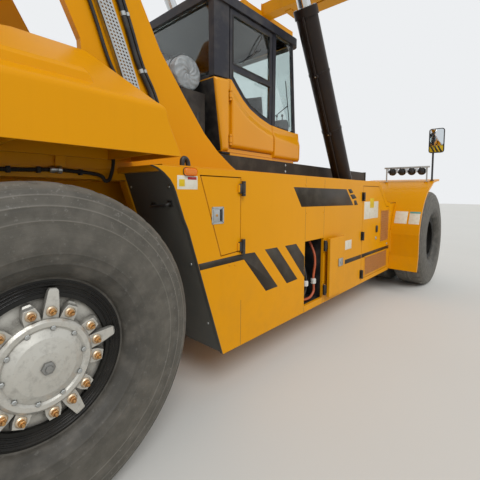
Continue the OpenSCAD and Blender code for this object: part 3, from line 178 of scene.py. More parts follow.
def cast_silver_paint(tree, place, colour):
    """Aluminium-pigment paint on sand-cast iron: bright but broken by a 4 mm casting grain, darkened in its
    recesses by ambient occlusion as painted shade, and spotted with grime."""
    # painted shade: the colour darkens where ambient occlusion finds recesses within 60 mm; the noise spots
    # added to it are grime
    occlusion_shade = add(tree, "AmbientOcclusion", Distance=0.06, samples=8, out="AO")
    occlusion_shade = add(tree, "MapRange", occlusion_shade, 0.35, 0.9, 0.75, 0.0)
    spots = clouds(tree, place, 34.0, 6.0, 0.50, 0.75, 0.35, 0.65)
    shade_and_dirt = add(tree, "Math", occlusion_shade, spots, operation="ADD", use_clamp=True)
    base = add(tree, "Mix", shade_and_dirt, colour, "#5B5750", data_type="RGBA")
    gloss = add(tree, "MapRange", shade_and_dirt, 0.0, 1.0, 0.34, 0.75)
    rounded = add(tree, "Bevel", 0.004, samples=4)
    grain = add(tree, "TexNoise", place, 240.0, 2.0)
    relief = add(tree, "Bump", Height=grain, Strength=0.35, Distance=0.0012, Normal=rounded)
    return dict(Base_Color=base, Roughness=gloss, Normal=relief, Metallic=0.55, IOR=1.5)


def tyre_rubber(tree, _, colour):
    """Carbon-black rubber of a heavy tyre: fine moulding rings with pale lines painted on them as highlight,
    scuffed to grey-brown between them, scraped pale at the shoulder and dusty. Its pattern reads the piece's
    own wheel_place: metres from the wheel's middle."""
    place = add(tree, "Attribute", attribute_name="wheel_place", out="Vector")
    disc = add(tree, "VectorMath", place, (1.0, 0.0, 1.0), operation="MULTIPLY")
    radius = add(tree, "VectorMath", disc, operation="LENGTH")
    share = add(tree, "MapRange", radius, 0.30, 0.82)
    dark, light, pale, scraped = 0.62 * colour, 1.25 * colour, 2.2 * colour + 0.03, 1.9 * colour + 0.01
    # the pale stops at 0.662, 0.785 and 0.876 sit on the moulded rings as a painted highlight on their tops;
    # scraped and the last pale stop, near the shoulder, are scrapes
    rings = add(tree, "ValToRGB", share, stops=[(0.0, dark), (0.27, dark), (0.42, colour), (0.54, light),
                                                (0.655, light), (0.662, pale), (0.672, light),
                                                (0.775, colour), (0.785, pale), (0.795, light),
                                                (0.868, light), (0.876, pale), (0.886, colour),
                                                (0.925, light), (0.960, scraped), (0.985, pale),
                                                (1.0, colour)])
    # scuffs round the wheel: 3 mm across the radius, half a metre long
    turn = add(tree, "VectorMath", disc, operation="NORMALIZE")
    spun = add(tree, "VectorMath", turn, (2.2, 2.2, 2.2), operation="MULTIPLY")
    lift = add(tree, "CombineXYZ", Y=add(tree, "Math", radius, 150.0, operation="MULTIPLY"))
    around = add(tree, "VectorMath", spun, lift, operation="ADD")
    around = clouds(tree, around, 1.0, 4.0, 0.35, 0.7, 1.0, 0.7)
    base = add(tree, "Mix", add(tree, "Math", around, 0.4, operation="MULTIPLY"), rings, light,
               data_type="RGBA")
    # knocks and scrapes 20 mm long, more of them towards the tread, and dust in clouds of 80 mm
    knocks = clouds(tree, place, 45.0, 8.0, 0.57, 0.72, 0.5, 0.75)
    outer = add(tree, "MapRange", radius, 0.60, 0.81, 0.6, 2.4)
    knocks = add(tree, "Math", knocks, outer, operation="MULTIPLY", use_clamp=True)
    base = add(tree, "Mix", knocks, base, "#8D8B86", data_type="RGBA")
    base = add(tree, "Mix", clouds(tree, place, 12.0, 6.0, 0.42, 0.78, 0.38), base, "#7C766D",
               data_type="RGBA")
    gloss = add(tree, "MapRange", around, 0.0, 1.0, 0.52, 0.78)
    fine = add(tree, "TexNoise", place, 220.0, 3.0)
    relief = add(tree, "Bump", Height=fine, Strength=0.3, Distance=0.0010)
    relief = add(tree, "Bump", Height=around, Strength=0.25, Distance=0.0008, Normal=relief)
    return dict(Base_Color=base, Roughness=gloss, Normal=relief, IOR=1.52)


def plain_metal(tree, place, colour, rough, grain_scale=300.0, tarnish="#6B5A44", tarnished=0.25):
    """Bare or plated steel: metallic, with a fine machined grain and patches of tarnish 30 mm across."""
    patch = clouds(tree, place, 32.0, 5.0, 0.45, 0.75, tarnished)
    base = add(tree, "Mix", patch, colour, tarnish, data_type="RGBA")
    gloss = add(tree, "MapRange", patch, 0.0, 1.0, rough, min(1.0, rough + 0.6))
    grain = add(tree, "TexNoise", place, grain_scale, 2.0)
    relief = add(tree, "Bump", Height=grain, Strength=0.12, Distance=0.0005)
    return dict(Base_Color=base, Roughness=gloss, Normal=relief, Metallic=1.0)


def moulded_plastic(tree, place, colour, rough=0.5, spark=225.0, sheen=0.0):
    """Moulded plastic or rubber: a leather-like spark-eroded grain, 4 mm here so that it shows, and a film of
    dust."""
    cloud = clouds(tree, place, 9.0, 6.0, 0.45, 0.85, 0.28)
    base = add(tree, "Mix", cloud, colour, "#807A70", data_type="RGBA")
    gloss = add(tree, "MapRange", cloud, 0.0, 1.0, rough, min(1.0, rough + 0.4))
    grain = add(tree, "TexVoronoi", place, spark)
    relief = add(tree, "Bump", Height=grain, Strength=0.2, Distance=0.0006)
    return dict(Base_Color=base, Roughness=gloss, Normal=relief, IOR=1.5, Sheen_Weight=sheen)


def safety_glass(tree, place, tint):
    """Tinted toughened glass: clear and glossy, with a faint green-grey tint and a veil of dried rain."""
    veil = add(tree, "TexNoise", place, 7.0, 6.0)
    haze = add(tree, "MapRange", veil, 0.45, 0.8, 0.0, 0.03)
    base = add(tree, "Mix", veil, tint, "#DDE6E6", data_type="RGBA")
    return dict(Base_Color=base, Roughness=haze, IOR=1.5, Transmission_Weight=1.0, Specular_IOR_Level=0.2)


def blank_vinyl(tree, place, colour):
    """Printed vinyl sheet left blank: matte white, yellowed a little and scuffed by hands and brooms."""
    stain = clouds(tree, place, 22.0, 6.0, 0.45, 0.8, 0.5)
    base = add(tree, "Mix", stain, colour, colour * (0.72, 0.64, 0.50), data_type="RGBA")
    gloss = add(tree, "MapRange", stain, 0.0, 1.0, 0.4, 0.8)
    return dict(Base_Color=base, Roughness=gloss, IOR=1.5, Specular_IOR_Level=0.3)


def signal_lens(tree, place, colour, painted_glow):
    """Moulded acrylic lens: coloured through, shining faintly by emission as painted light for what a pale
    reflector behind it would return, with 4 mm prisms inside."""
    prism = add(tree, "TexVoronoi", place, 240.0, distance="CHEBYCHEV")
    base = add(tree, "Mix", prism, colour, 0.6 * colour, data_type="RGBA")
    relief = add(tree, "Bump", Height=prism, Strength=0.3, Distance=0.001)
    # painted light: emission makes the lens shine though nothing lights it
    return dict(Base_Color=base, Emission_Color=base, Normal=relief, IOR=1.49, Roughness=0.12,
                Transmission_Weight=0.25, Emission_Strength=painted_glow)


def wrapped_film(tree, place, colour):
    """Polythene film drawn over a drum: milky grey, glossy, creased every 60 mm or so, with painted shade
    darkening the creases' recesses.
    """
    drawn = add(tree, "Mapping", place, Scale=(14.0, 5.0, 9.0), Rotation=(0.3, 0.2, 0.5))
    crease = add(tree, "TexNoise", drawn, 1.0, 5.0, Distortion=0.8)
    # painted shade: the colour falls to 0.62 of itself where the crease pattern is low, in its recesses
    tone = add(tree, "MapRange", crease, 0.35, 0.7)
    base = add(tree, "Mix", tone, 0.62 * colour, colour, data_type="RGBA")
    gloss = add(tree, "MapRange", crease, 0.0, 1.0, 0.18, 0.5)
    relief = add(tree, "Bump", Height=crease, Strength=0.8, Distance=0.02)
    return dict(Base_Color=base, Roughness=gloss, Normal=relief, IOR=1.5, Transmission_Weight=0.15,
                Coat_Weight=0.2)


def finishes(s):
    """Every finish by its name: the record's slot that it belongs to, what the real one is, its colour, and
    the values that differ from the function's own."""
    return {"yellow_enamel": ("body_paint", sprayed_enamel, s.paint.yellow, {"dust": s.paint.dust}),
            "cab_enamel": ("body_paint", sprayed_enamel, s.paint.yellow,
                           {"rough": 0.26, "dust": 0.2 * s.paint.dust, "coat": 0.6, "worn_and_lit_edges": 0.1}),
            "mesh_enamel": ("body_paint", sprayed_enamel, "#C0804A",
                            {"rough": 0.5, "dust": 0.6, "worn_and_lit_edges": 0.1, "coat": 0.0}),
            "cylinder_enamel": ("cylinder_paint", sprayed_enamel, s.paint.cylinder,
                                {"rough": 0.30, "dust": 0.4, "worn_and_lit_edges": 0.1}),
            "charcoal_primer": ("dark_paint", primed_sheet, s.paint.charcoal, {}),
            "stripe_film": ("black_paint", primed_sheet, s.paint.stripe, {"rough": 0.42}),
            "rail_enamel": ("black_paint", primed_sheet, s.paint.rail, {"rough": 0.5}),
            "rim_enamel": ("black_paint", primed_sheet, "#11100D", {"rough": 0.42, "dusty": 0.06}),
            "rim_gloss": ("black_paint", primed_sheet, "#12110F", {"rough": 0.22, "dusty": 0.10}),
            "window_frame": ("black_paint", primed_sheet, s.cab.frame_colour, {"rough": 0.38}),
            "tank_enamel": ("black_paint", primed_sheet, "#2B2622", {"rough": 0.42}),
            "arch_lining": ("black_paint", primed_sheet, "#575651", {"rough": 0.7}),
            "lamp_frame": ("guard_steel", primed_sheet, "#B9BDBD", {"rough": 0.42}),
            "cast_silver": ("hub_silver", cast_silver_paint, s.paint.hub, {}),
            "cast_plug": ("hub_silver", cast_silver_paint, "#8F8F8C", {}),
            "tyre_rubber": ("tyre", tyre_rubber, s.tyres.rubber, {}),
            "zinc_studs": ("hub_silver", plain_metal, "#C79A63",
                           {"rough": 0.34, "tarnish": "#8A5A4A", "tarnished": 0.6}),
            "washer_zinc": ("hub_silver", plain_metal, "#D9C7AC",
                            {"rough": 0.4, "tarnish": "#B99B7C", "tarnished": 0.5}),
            "bright_zinc": ("guard_steel", plain_metal, "#B9BCBB", {"rough": 0.32, "tarnish": "#77746E"}),
            "chromed_rod": ("rod_chrome", plain_metal, "#D5D8DA",
                            {"rough": 0.10, "grain_scale": 500.0, "tarnished": 0.05}),
            "mirror_glass": ("glass", plain_metal, "#D6DCDF",
                             {"rough": 0.03, "tarnish": "#A8AFB2", "tarnished": 0.1}),
            "black_plastic": ("black_paint", moulded_plastic, "#1C1C1D", {"rough": 0.45}),
            "hose_rubber": ("black_paint", moulded_plastic, "#191817", {"rough": 0.55, "spark": 400.0}),
            "orange_hose": ("black_paint", moulded_plastic, "#B4552F", {"rough": 0.4, "spark": 400.0}),
            "white_nylon": ("guard_steel", moulded_plastic, "#D8D6CF", {"rough": 0.4}),
            "seat_fabric": ("interior", moulded_plastic, "#2A2B2E",
                            {"rough": 0.85, "spark": 800.0, "sheen": 0.4}),
            "carpet_black": ("interior", moulded_plastic, "#232323", {"rough": 0.8}),
            "dark_screen": ("interior", moulded_plastic, "#101418", {"rough": 0.12}),
            "cab_glass": ("glass", safety_glass, s.cab.tint, {}),
            "label_vinyl": ("body_paint", blank_vinyl, "#D9D5C6", {}),
            "label_yellow": ("body_paint", blank_vinyl, "#D8B81E", {}),
            "label_green": ("body_paint", blank_vinyl, "#5F8F3C", {}),
            "label_teal": ("body_paint", blank_vinyl, "#5D9C98", {}),
            "orange_lens": ("body_paint", signal_lens, "#F08408", {"painted_glow": 0.16}),
            "red_lens": ("body_paint", signal_lens, "#B01414", {"painted_glow": 0.15}),
            "clear_lens": ("guard_steel", signal_lens, "#C9D2D6", {"painted_glow": 0.1}),
            "polythene": ("hub_silver", wrapped_film, "#A9B0B3", {}),}


def finish(name):
    """The material of that name and its usual slot. It is made at its first use, from the settings in the
    scene."""
    slot, draw, colour, values = finishes(bpy.context.scene.reach_stacker)[name]
    made = bpy.data.materials.get(name)
    if not made:
        made = bpy.data.materials.new(name)
        made.use_nodes = True
        tree = made.node_tree
        tree.nodes.clear()
        place = add(tree, "TexCoord", out="Object")
        colour = linear(colour) if isinstance(colour, str) else np.array(colour)
        add(tree, "OutputMaterial", add(tree, "BsdfPrincipled", **draw(tree, place, colour, **values)))
    return made, slot


NODE_FINISH = {
    "yellow_enamel": ("chassis", "tower", "counterweight", "side_body_{}", "rear_hood_{}", "rear_bonnet",
                      "front_fender_{}", "deck", "service_door_{}", "bay_door_{}", "port_door", "boom_outer",
                      "boom_inner", "yoke", "spreader_frame", "spreader_beam_{}"),
    "arch_lining": ("arch_walls",),
    "tank_enamel": ("rear_tank",),
    "polythene": ("rear_drum",),
    "charcoal_primer": ("front_axle", "rear_axle", "knuckle_{}", "battery", "drive_motor", "rotator",
                        "access_ladder"),
    "rail_enamel": ("cab_rails",),
    "rim_enamel": ("rear_rim_{}", "front_rim_{}"),
    "cast_silver": ("rear_hub_{}",),
    "cylinder_enamel": ("lift_barrel_{}",),
    "chromed_rod": ("lift_rod_{}",),
    "cab_enamel": ("cab_body", "cab_door_panel"),
    "window_frame": ("cab_frame", "cab_door_frame"),
    "cab_glass": ("cab_glass", "cab_door_glass"),
    "black_plastic": ("cab_interior", "charge_bay", "lamp_bars", "mirrors"),
    "bright_zinc": ("hose_guard",),
    "hose_rubber": ("rear_tyre_{}", "front_tyres_{}"),
}


# surfaces worked out as whole arrays


def quads(rows, cols, wrap_rows=False, wrap_cols=False):
    """Faces of a grid of points: each joins a point to the next in its row and to the same two in the next
    row."""
    r, c = np.meshgrid(np.arange(rows - (not wrap_rows)), np.arange(cols - (not wrap_cols)), indexing="ij")
    r2, c2 = (r + 1) % rows, (c + 1) % cols
    return np.stack([r * cols + c, r * cols + c2, r2 * cols + c2, r2 * cols + c], -1).reshape(-1, 4)


def surface(points, wrap_rows=False, wrap_cols=False, caps=False):
    """Part from a grid of points, rows by columns by 3. caps closes the first and last rows with a flat
    face."""
    rows, cols = points.shape[:2]
    faces = [quads(rows, cols, wrap_rows, wrap_cols)]
    if caps:
        faces += [np.arange(cols)[None, ::-1], (rows - 1) * cols + np.arange(cols)[None, :]]
    return points.reshape(-1, 3), faces


def soft_corners(outline, radius, steps=4):
    """Outline whose corners follow a parabola between two points radius away from the corner on its two
    sides."""
    p = np.asarray(outline, float)
    back, on = np.roll(p, 1, 0) - p, np.roll(p, -1, 0) - p
    lb, lo = np.linalg.norm(back, axis=1, keepdims=True), np.linalg.norm(on, axis=1, keepdims=True)
    a = p + back / lb * np.minimum(radius, lb * 0.49)
    b = p + on / lo * np.minimum(radius, lo * 0.49)
    t = np.linspace(0, 1, steps + 1)[None, :, None]
    return ((1 - t) ** 2 * a[:, None] + 2 * t * (1 - t) * p[:, None] + t**2 * b[:, None]).reshape(-1, 2)


def drawn_in(outline, d):
    """Outline moved inwards by d along the mean of each corner's two side normals, stretched to keep the
    sides true."""
    p = np.asarray(outline, float)
    u = p - np.roll(p, 1, 0)
    v = np.roll(p, -1, 0) - p
    u, v = [q / np.linalg.norm(q, axis=1, keepdims=True) for q in (u, v)]
    n, m = [np.stack([-q[:, 1], q[:, 0]], 1) for q in (u, v)]
    area = np.sum(p[:, 0] * np.roll(p[:, 1], -1) - np.roll(p[:, 0], -1) * p[:, 1])
    return p + np.sign(area) * d * (n + m) / np.maximum(0.3, 1 + np.sum(n * m, 1, keepdims=True))


PLANES = {"xz": (0, 2, 1), "yz": (1, 2, 0), "xy": (0, 1, 2)}


def plate(outline, a, b, edge=0.002, plane="xz", steps=3):
    """Flat piece: the outline carried square to its plane from a to b, drawn in along a quarter circle at
    both ends."""
    t = np.linspace(0, math.pi / 2, steps)
    depth = np.concatenate([a + edge * (1 - np.cos(t)), (b - edge * (1 - np.cos(t)))[::-1]])
    inset = np.concatenate([edge * (1 - np.sin(t)), (edge * (1 - np.sin(t)))[::-1]])
    rings = np.stack([drawn_in(outline, d) for d in inset])
    points = np.zeros((*rings.shape[:2], 3))
    i, j, k = PLANES[plane]
    points[..., i], points[..., j], points[..., k] = rings[..., 0], rings[..., 1], depth[:, None]
    return surface(points, wrap_cols=True, caps=True)


def block(low, high, edge=0.003):
    """Box between two corners with rounded edges: a plate with a rectangular outline."""
    (x0, y0, z0), (x1, y1, z1) = low, high
    e = min(edge, 0.3 * min(x1 - x0, y1 - y0, z1 - z0))
    return plate(soft_corners([[x0, z0], [x1, z0], [x1, z1], [x0, z1]], e, 3), y0, y1, e)


def turned(profile, centre, axis="y", steps=32, flip=1.0, loop=False):
    """Turned piece: each profile point (radius, distance along the axis) goes once round the axis through
    centre."""
    prof = np.asarray(profile, float)
    a = np.linspace(0, 2 * math.pi, steps, endpoint=False)
    r, h = prof[:, 0][:, None], prof[:, 1][:, None] * flip
    i, j, k = {"y": (0, 2, 1), "x": (1, 2, 0), "z": (0, 1, 2)}[axis]
    points = np.zeros((len(prof), steps, 3))
    points[..., i], points[..., j], points[..., k] = r * np.cos(a), r * np.sin(a), h + 0 * a
    return surface(points + np.asarray(centre, float), wrap_rows=loop, wrap_cols=True)


def bent(points, n=24):
    """Smooth line through the given points: a cubic between each two of them in n steps, whose direction at a
    point is that from the point before to the one after."""
    p = np.asarray(points, float)
    q = np.vstack([2 * p[:1] - p[1:2], p, 2 * p[-1:] - p[-2:-1]])
    t = np.linspace(0, 1, n, endpoint=False)[None, :, None]
    a, b, c, d = q[:-3, None], q[1:-2, None], q[2:-1, None], q[3:, None]
    line = 0.5 * (2 * b + (c - a) * t + (2 * a - 5 * b + 4 * c - d) * t**2 + (3 * b - a - 3 * c + d) * t**3)
    return np.vstack([line.reshape(-1, 3), p[-1:]])


def tube(path, radius, sides=12, up=(0.0, 1.0, 0.0)):
    """Round bar along a line: at each point a circle square to the line's direction, turned from the fixed
    vector up. radius is one number or one for each point."""
    p = np.asarray(path, float)
    t = np.gradient(p, axis=0)
    t /= np.linalg.norm(t, axis=1, keepdims=True)
    side = np.cross(t, np.asarray(up, float))
    side /= np.linalg.norm(side, axis=1, keepdims=True)
    over = np.cross(side, t)
    a = np.linspace(0, 2 * math.pi, sides, endpoint=False)[None, :, None]
    r = np.broadcast_to(np.asarray(radius, float), (len(p),))[:, None, None]
    points = p[:, None] + r * (np.cos(a) * side[:, None] + np.sin(a) * over[:, None])
    return surface(points, wrap_cols=True, caps=True)


def moved(part, offset=(0, 0, 0), ex=(1, 0, 0), ey=(0, 1, 0), ez=(0, 0, 1)):
    """Part whose own x, y and z run along three given vectors, then shifted: offset + x ex + y ey + z ez."""
    return part[0] @ np.array([ex, ey, ez], float) + np.asarray(offset, float), part[1]


def mirrored(part):
    """The part's twin on the machine's other side: y changes sign and the faces turn round."""
    return part[0] * [1, -1, 1], [f[:, ::-1] for f in part[1]]


def on_boom(part):
    """Part drawn level, with x along the boom from its pivot and z square to it, turned up to the resting
    boom."""
    c, s = math.cos(BOOM_TILT), math.sin(BOOM_TILT)
    return moved(part, PIVOT, (c, 0, s), (0, 1, 0), (-s, 0, c))


def outwards(points, faces):
    """The faces, turned round where the solid that they close has a negative volume."""
    volume = 0.0
    for f in faces:
        a = points[f[:, 0]]
        for k in range(1, f.shape[1] - 1):
            volume += np.einsum("ij,ij->", a, np.cross(points[f[:, k]], points[f[:, k + 1]]))
    return [f[:, ::-1] for f in faces] if volume < 0 else faces


def piece(name, parts, body, coat, stands_for=(), slot=None, open_sheet=False, sharp=35.0, values=None):
    """One mesh object from several parts, riding on a body of the frame. Every part is shifted from the rear
    axle to the frame's zero, and a closed part has its faces turned outwards.
    slot is not used."""
    points, faces, start_at = [], [], 0
    for p, f in parts:
        f = f if open_sheet else outwards(p - p.mean(0), f)
        points.append(p + [REAR[0], 0, 0])
        faces += [(g + start_at).tolist() for g in f]
        start_at += len(p)
    mesh = bpy.data.meshes.new(name)
    mesh.from_pydata(np.vstack(points).tolist(), [], [g for group in faces for g in group])
    if values is not None:
        place = mesh.attributes.new("wheel_place", "FLOAT_VECTOR", "POINT")
        place.data.foreach_set("vector", np.asarray(values, np.float32).ravel())
    made = bmesh.new()
    made.from_mesh(mesh)
    bmesh.ops.remove_doubles(made, verts=made.verts, dist=1e-6)
    made.to_mesh(mesh)
    made.free()
    mesh.polygons.foreach_set("use_smooth", np.ones(len(mesh.polygons), bool))
    mesh.set_sharp_from_angle(angle=math.radians(sharp))
    material, usual = finish(coat)
    mesh.materials.append(material)
    obj = bpy.data.objects.new(name, mesh)
    bpy.context.scene.collection.objects.link(obj)
    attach(obj, body)
    slot or usual
    if stands_for:
        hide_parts(*stands_for)
    return obj


SIDES = {"right": -1, "left": 1}


def twin(name, parts, body, coat, stands_for=(), **how):
    """A right-hand piece and its mirrored twin on the left: {} in the names stands for the side."""
    for side, sign in SIDES.items():
        drawn = parts if sign < 0 else [mirrored(p) for p in parts]
        piece(name.format(side), drawn, body.format(side), coat, [n.format(side) for n in stands_for], **how)


def rect(x0, x1, z0, z1, r=0.004):
    """Rectangle with soft corners."""
    return soft_corners([[x0, z0], [x1, z0], [x1, z1], [x0, z1]], r)


def on_face(outline, out=0.0006, edge=0.0002):
    """Thin flat piece on the right side's sheet, standing out by the given amount."""
    return plate(outline, -BODY_Y - out, -BODY_Y + SINK, edge)


def rim_ring(outline, width, a, b, plane="xz"):
    """Flat frame: the outline at depths a and b and the same outline drawn in by width, joined in a closed
    loop."""
    i, j, k = PLANES[plane]
    inner = drawn_in(outline, width)
    points = np.zeros((4, len(inner), 3))
    for row, (line, depth) in enumerate(((outline, a), (outline, b), (inner, b), (inner, a))):
        points[row, :, i], points[row, :, j], points[row, :, k] = *np.asarray(line).T, depth
    return surface(points, wrap_rows=True, wrap_cols=True)


def knob(centre, profile, axis="y", flip=-1.0, steps=24):
    """Small turned piece on a face: its profile starts and ends on the axis."""
    return turned(profile, centre, axis, steps, flip)


def bolt(centre, r=0.009, axis="y", flip=-1.0):
    """Hexagon bolt head on its washer."""
    washer = turned([(0, 0), (1.45 * r, 0), (1.45 * r, 0.14 * r), (0, 0.14 * r)], centre, axis, 16, flip)
    head = turned([(0, 0.1 * r), (r, 0.1 * r), (r, 0.72 * r), (0.86 * r, 0.84 * r), (0, 0.84 * r)], centre,
                  axis, 6, flip)
    return [washer, head]


def pipe(points, radius, n=8, sides=12, up=(0.0, 1.0, 0.0)):
    """Tube along the smooth line through the given points."""
    return tube(bent(points, n), radius, sides, up)


def reach(line):
    """How far along a line each of its points lies."""
    return np.concatenate([[0], np.cumsum(np.linalg.norm(np.diff(line, axis=0), axis=1))])


# settings


def hue(name, text, code):
    """A colour that a user may change, and the hex value that it starts from."""
    return FloatVectorProperty(name=name, description=text, subtype="COLOR", size=3, min=0, max=1,
                               default=linear(code).tolist())


class PaintSettings(bpy.types.PropertyGroup):
    yellow: hue("Yellow", "Body enamel", "#DA9400")
    charcoal: hue("Charcoal", "Chassis paint of axles and drive", "#3A3A36")
    stripe: hue("Stripe", "Dark film of the stripes on the side", "#2E271D")
    rail: hue("Rail", "Paint of the cab's rails", "#2C261E")
    cylinder: hue("Cylinder", "Paint of the lift cylinders' barrels", "#2A2422")
    hub: hue("Hub", "Silver paint of the hubs", "#C3C1B9")
    dust: FloatProperty(name="Dust", description="How thickly the yard's dust lies on the paint",
                        subtype="FACTOR", min=0, max=1, default=0.2)


class TyreSettings(bpy.types.PropertyGroup):
    rubber: hue("Rubber", "Colour of the scuffed sidewall", "#45423B")
    steps: IntProperty(name="Steps round", description="Points round one tyre", min=120, max=900, default=576)
    blocks: IntProperty(name="Tread blocks", description="Tread blocks round one shoulder", min=12, max=60,
                        default=34)
    groove: FloatProperty(name="Groove depth", description="Depth of the tread's grooves", unit="LENGTH",
                          min=0, max=0.04, default=0.020)
    ring: FloatProperty(name="Ring height", description="Height of the moulded rings on the sidewall",
                        unit="LENGTH", min=0, max=0.006, default=0.0022)


class CabSettings(bpy.types.PropertyGroup):
    tint: hue("Glass tint", "Tint of the cab's glass", "#E2EDEB")
    frame_colour: hue("Window frames", "Paint of the cab's posts and sashes", "#26272F")


class StageSettings(bpy.types.PropertyGroup):
    floor: hue("Floor", "Colour of the studio floor", "#D6D6D2")
    back: hue("Backdrop", "Colour behind the machine", "#EDEFF1")
    key: FloatProperty(name="Key light", description="Strength of the large soft lamp", min=0, max=10,
                       default=1.5)
    fill: FloatProperty(name="Fill light", description="Strength of the light from all round", min=0, max=2,
                        default=0.62)


class StackerSettings(bpy.types.PropertyGroup):
    paint: PointerProperty(type=PaintSettings)
    tyres: PointerProperty(type=TyreSettings)
    cab: PointerProperty(type=CabSettings)
    stage: PointerProperty(type=StageSettings)


# operators


class REACH_OT_paint_frame(bpy.types.Operator):
    """Gives every solid of the frame its finish."""

    bl_idname = "reach_stacker.paint_frame"
    bl_label = "Paint the frame"

    def execute(self, context):
        for coat, nodes in NODE_FINISH.items():
            for node in {n.format(side) for n in nodes for side in SIDES}:
                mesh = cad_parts[node].data
                if not mesh.materials:
                    mesh.materials.append(None)
                for i in range(len(mesh.materials)):
                    mesh.materials[i] = finish(coat)[0]
        return {"FINISHED"}


def tyre_skin(s, steps):
    """Grid of one tyre. Along the section: the bead, the bulging sidewall and the crown, with small rings
    where the radius passes certain values. Round the axle: the same section, its crown cut in where the
    groove pattern, a smooth step of the angle's share of a block and of the distance from the middle, is
    above zero."""
    rim, hw = 0.3175, 0.250
    half = np.array([[rim + 0.0003, FLANGE - 0.0003], [rim + 0.064, FLANGE - 0.0003],
                     [rim + 0.067, FLANGE + 0.028], [rim + 0.096, FLANGE + 0.062], [rim + 0.140, hw - 0.014],
                     [rim + 0.200, hw], [rim + 0.262, hw - 0.002], [TYRE_R - 0.120, hw - 0.013],
                     [TYRE_R - 0.062, hw - 0.026], [TYRE_R - 0.030, hw - 0.042], [TYRE_R - 0.010, hw - 0.066],
                     [TYRE_R, hw - 0.105], [TYRE_R, 0.0]])
    length = reach(half)
    at = np.linspace(0, length[-1], 260)
    line = np.stack([np.interp(at, length, half[:, k]) for k in (0, 1)], 1)
    smooth = line.copy()
    kernel = np.hanning(15) / np.hanning(15).sum()
    for k in (0, 1):
        smooth[7:-7, k] = np.convolve(line[:, k], kernel, "valid")
    # rings on the sidewall: a bell 5 mm wide at each radius, with all the section's points there kept
    ring_r = np.array([0.452, 0.500, 0.645, 0.708, 0.756, 0.779])
    rings = np.exp(-(((smooth[:, 0:1] - ring_r) / 0.0028) ** 2)).sum(1) * (smooth[:, 1] > 0.19)
    smooth[:, 1] += s.ring * rings
    keep = np.unique(np.concatenate([[0], np.linspace(28, 259, 62).astype(int),
                                     np.flatnonzero(rings > 0.05)]))
    section = smooth[keep]
    section = np.vstack([section, section[::-1][1:] * [1, -1]])
    a = np.linspace(0, 2 * math.pi, steps, endpoint=False)
    across = section[:, 1][:, None]
    share = (s.blocks * a[None, :] / (2 * math.pi) + 2.4 * np.abs(across) + 0.5 * (across > 0)) % 1.0
    wide = np.clip((np.abs(share - 0.5) - 0.36) / 0.06, 0, 1)
    band = np.clip((np.abs(across) - 0.035) / 0.02, 0, 1) * np.clip((0.186 - np.abs(across)) / 0.02, 0, 1)
    rib = np.clip(1 - np.abs(np.abs(across) - 0.028) / 0.010, 0, 1)
    cut = np.maximum(wide * band, rib) * (section[:, 0][:, None] > 0.79)
    radius = section[:, 0][:, None] - s.groove * cut
    return np.stack([radius * np.cos(a), across + 0 * a, radius * np.sin(a)], -1)


class REACH_OT_tyres(bpy.types.Operator):
    """Builds the six tyres with their moulded rings and tread."""

    bl_idname = "reach_stacker.tyres"
    bl_label = "Tyres"

    def execute(self, context):
        s = context.scene.reach_stacker.tyres
        for side, sign in SIDES.items():
            for row, ys, x, node, body in (
                ("rear", (REAR_Y,), 0.0, "rear_tyre_", "rear_wheel_"),
                ("front", (FRONT_Y - PAIR_Y, FRONT_Y + PAIR_Y), WHEELBASE, "front_tyres_", "front_wheels_"),
            ):
                grid = tyre_skin(s, s.steps // len(ys))
                tyres = [surface(grid + [x, sign * y, AXLE_Z], wrap_rows=True, wrap_cols=True) for y in ys]
                piece(f"{row}_tread_{side}", tyres, body + side, "tyre_rubber", (node + side,), sharp=60,
                      values=np.vstack([grid.reshape(-1, 3)] * len(ys)))
        return {"FINISHED"}


def perforated(place, nu, nv, hole, thick):
    """Sheet with round holes: nu by nv square cells, each a ring of eight quads round its hole on the front
    and on the back, with the holes' walls and the sheet's border. place gives the points of cell coordinates
    u, v and depth w."""
    ring = np.array([[-1, -1], [0, -1], [1, -1], [1, 0], [1, 1], [0, 1], [-1, 1], [-1, 0]]) / 2
    a = np.radians(np.arange(-135, 225, 45))
    circle = hole * np.stack([np.cos(a), np.sin(a)], 1)
    layers = np.stack([ring, circle, circle, ring])
    cu, cv = np.meshgrid(np.arange(nu) + 0.5, np.arange(nv) + 0.5, indexing="ij")
    u, v = cu.reshape(-1, 1, 1) + layers[..., 0], cv.reshape(-1, 1, 1) + layers[..., 1]
    w = np.broadcast_to(np.array([thick, thick, 0.0, 0.0])[:, None], u.shape)
    points = place(u, v, w).reshape(-1, 3)
    faces = (quads(4, 8, wrap_cols=True)[None] + 32 * np.arange(nu * nv)[:, None, None]).reshape(-1, 4)
    s, t = np.arange(0, nu, 0.5), np.arange(0, nv, 0.5)
    edge = np.concatenate([np.stack([s, 0 * s], 1), np.stack([nu + 0 * t, t], 1),
                           np.stack([nu - s, nv + 0 * s], 1), np.stack([0 * t, nv - t], 1)])
    border = [place(edge[:, 0], edge[:, 1], np.full(len(edge), d)) for d in (0.0, thick)]
    strip = quads(2, len(edge), wrap_cols=True) + len(points)
    return np.vstack([points, *border]), [np.vstack([faces, strip])]


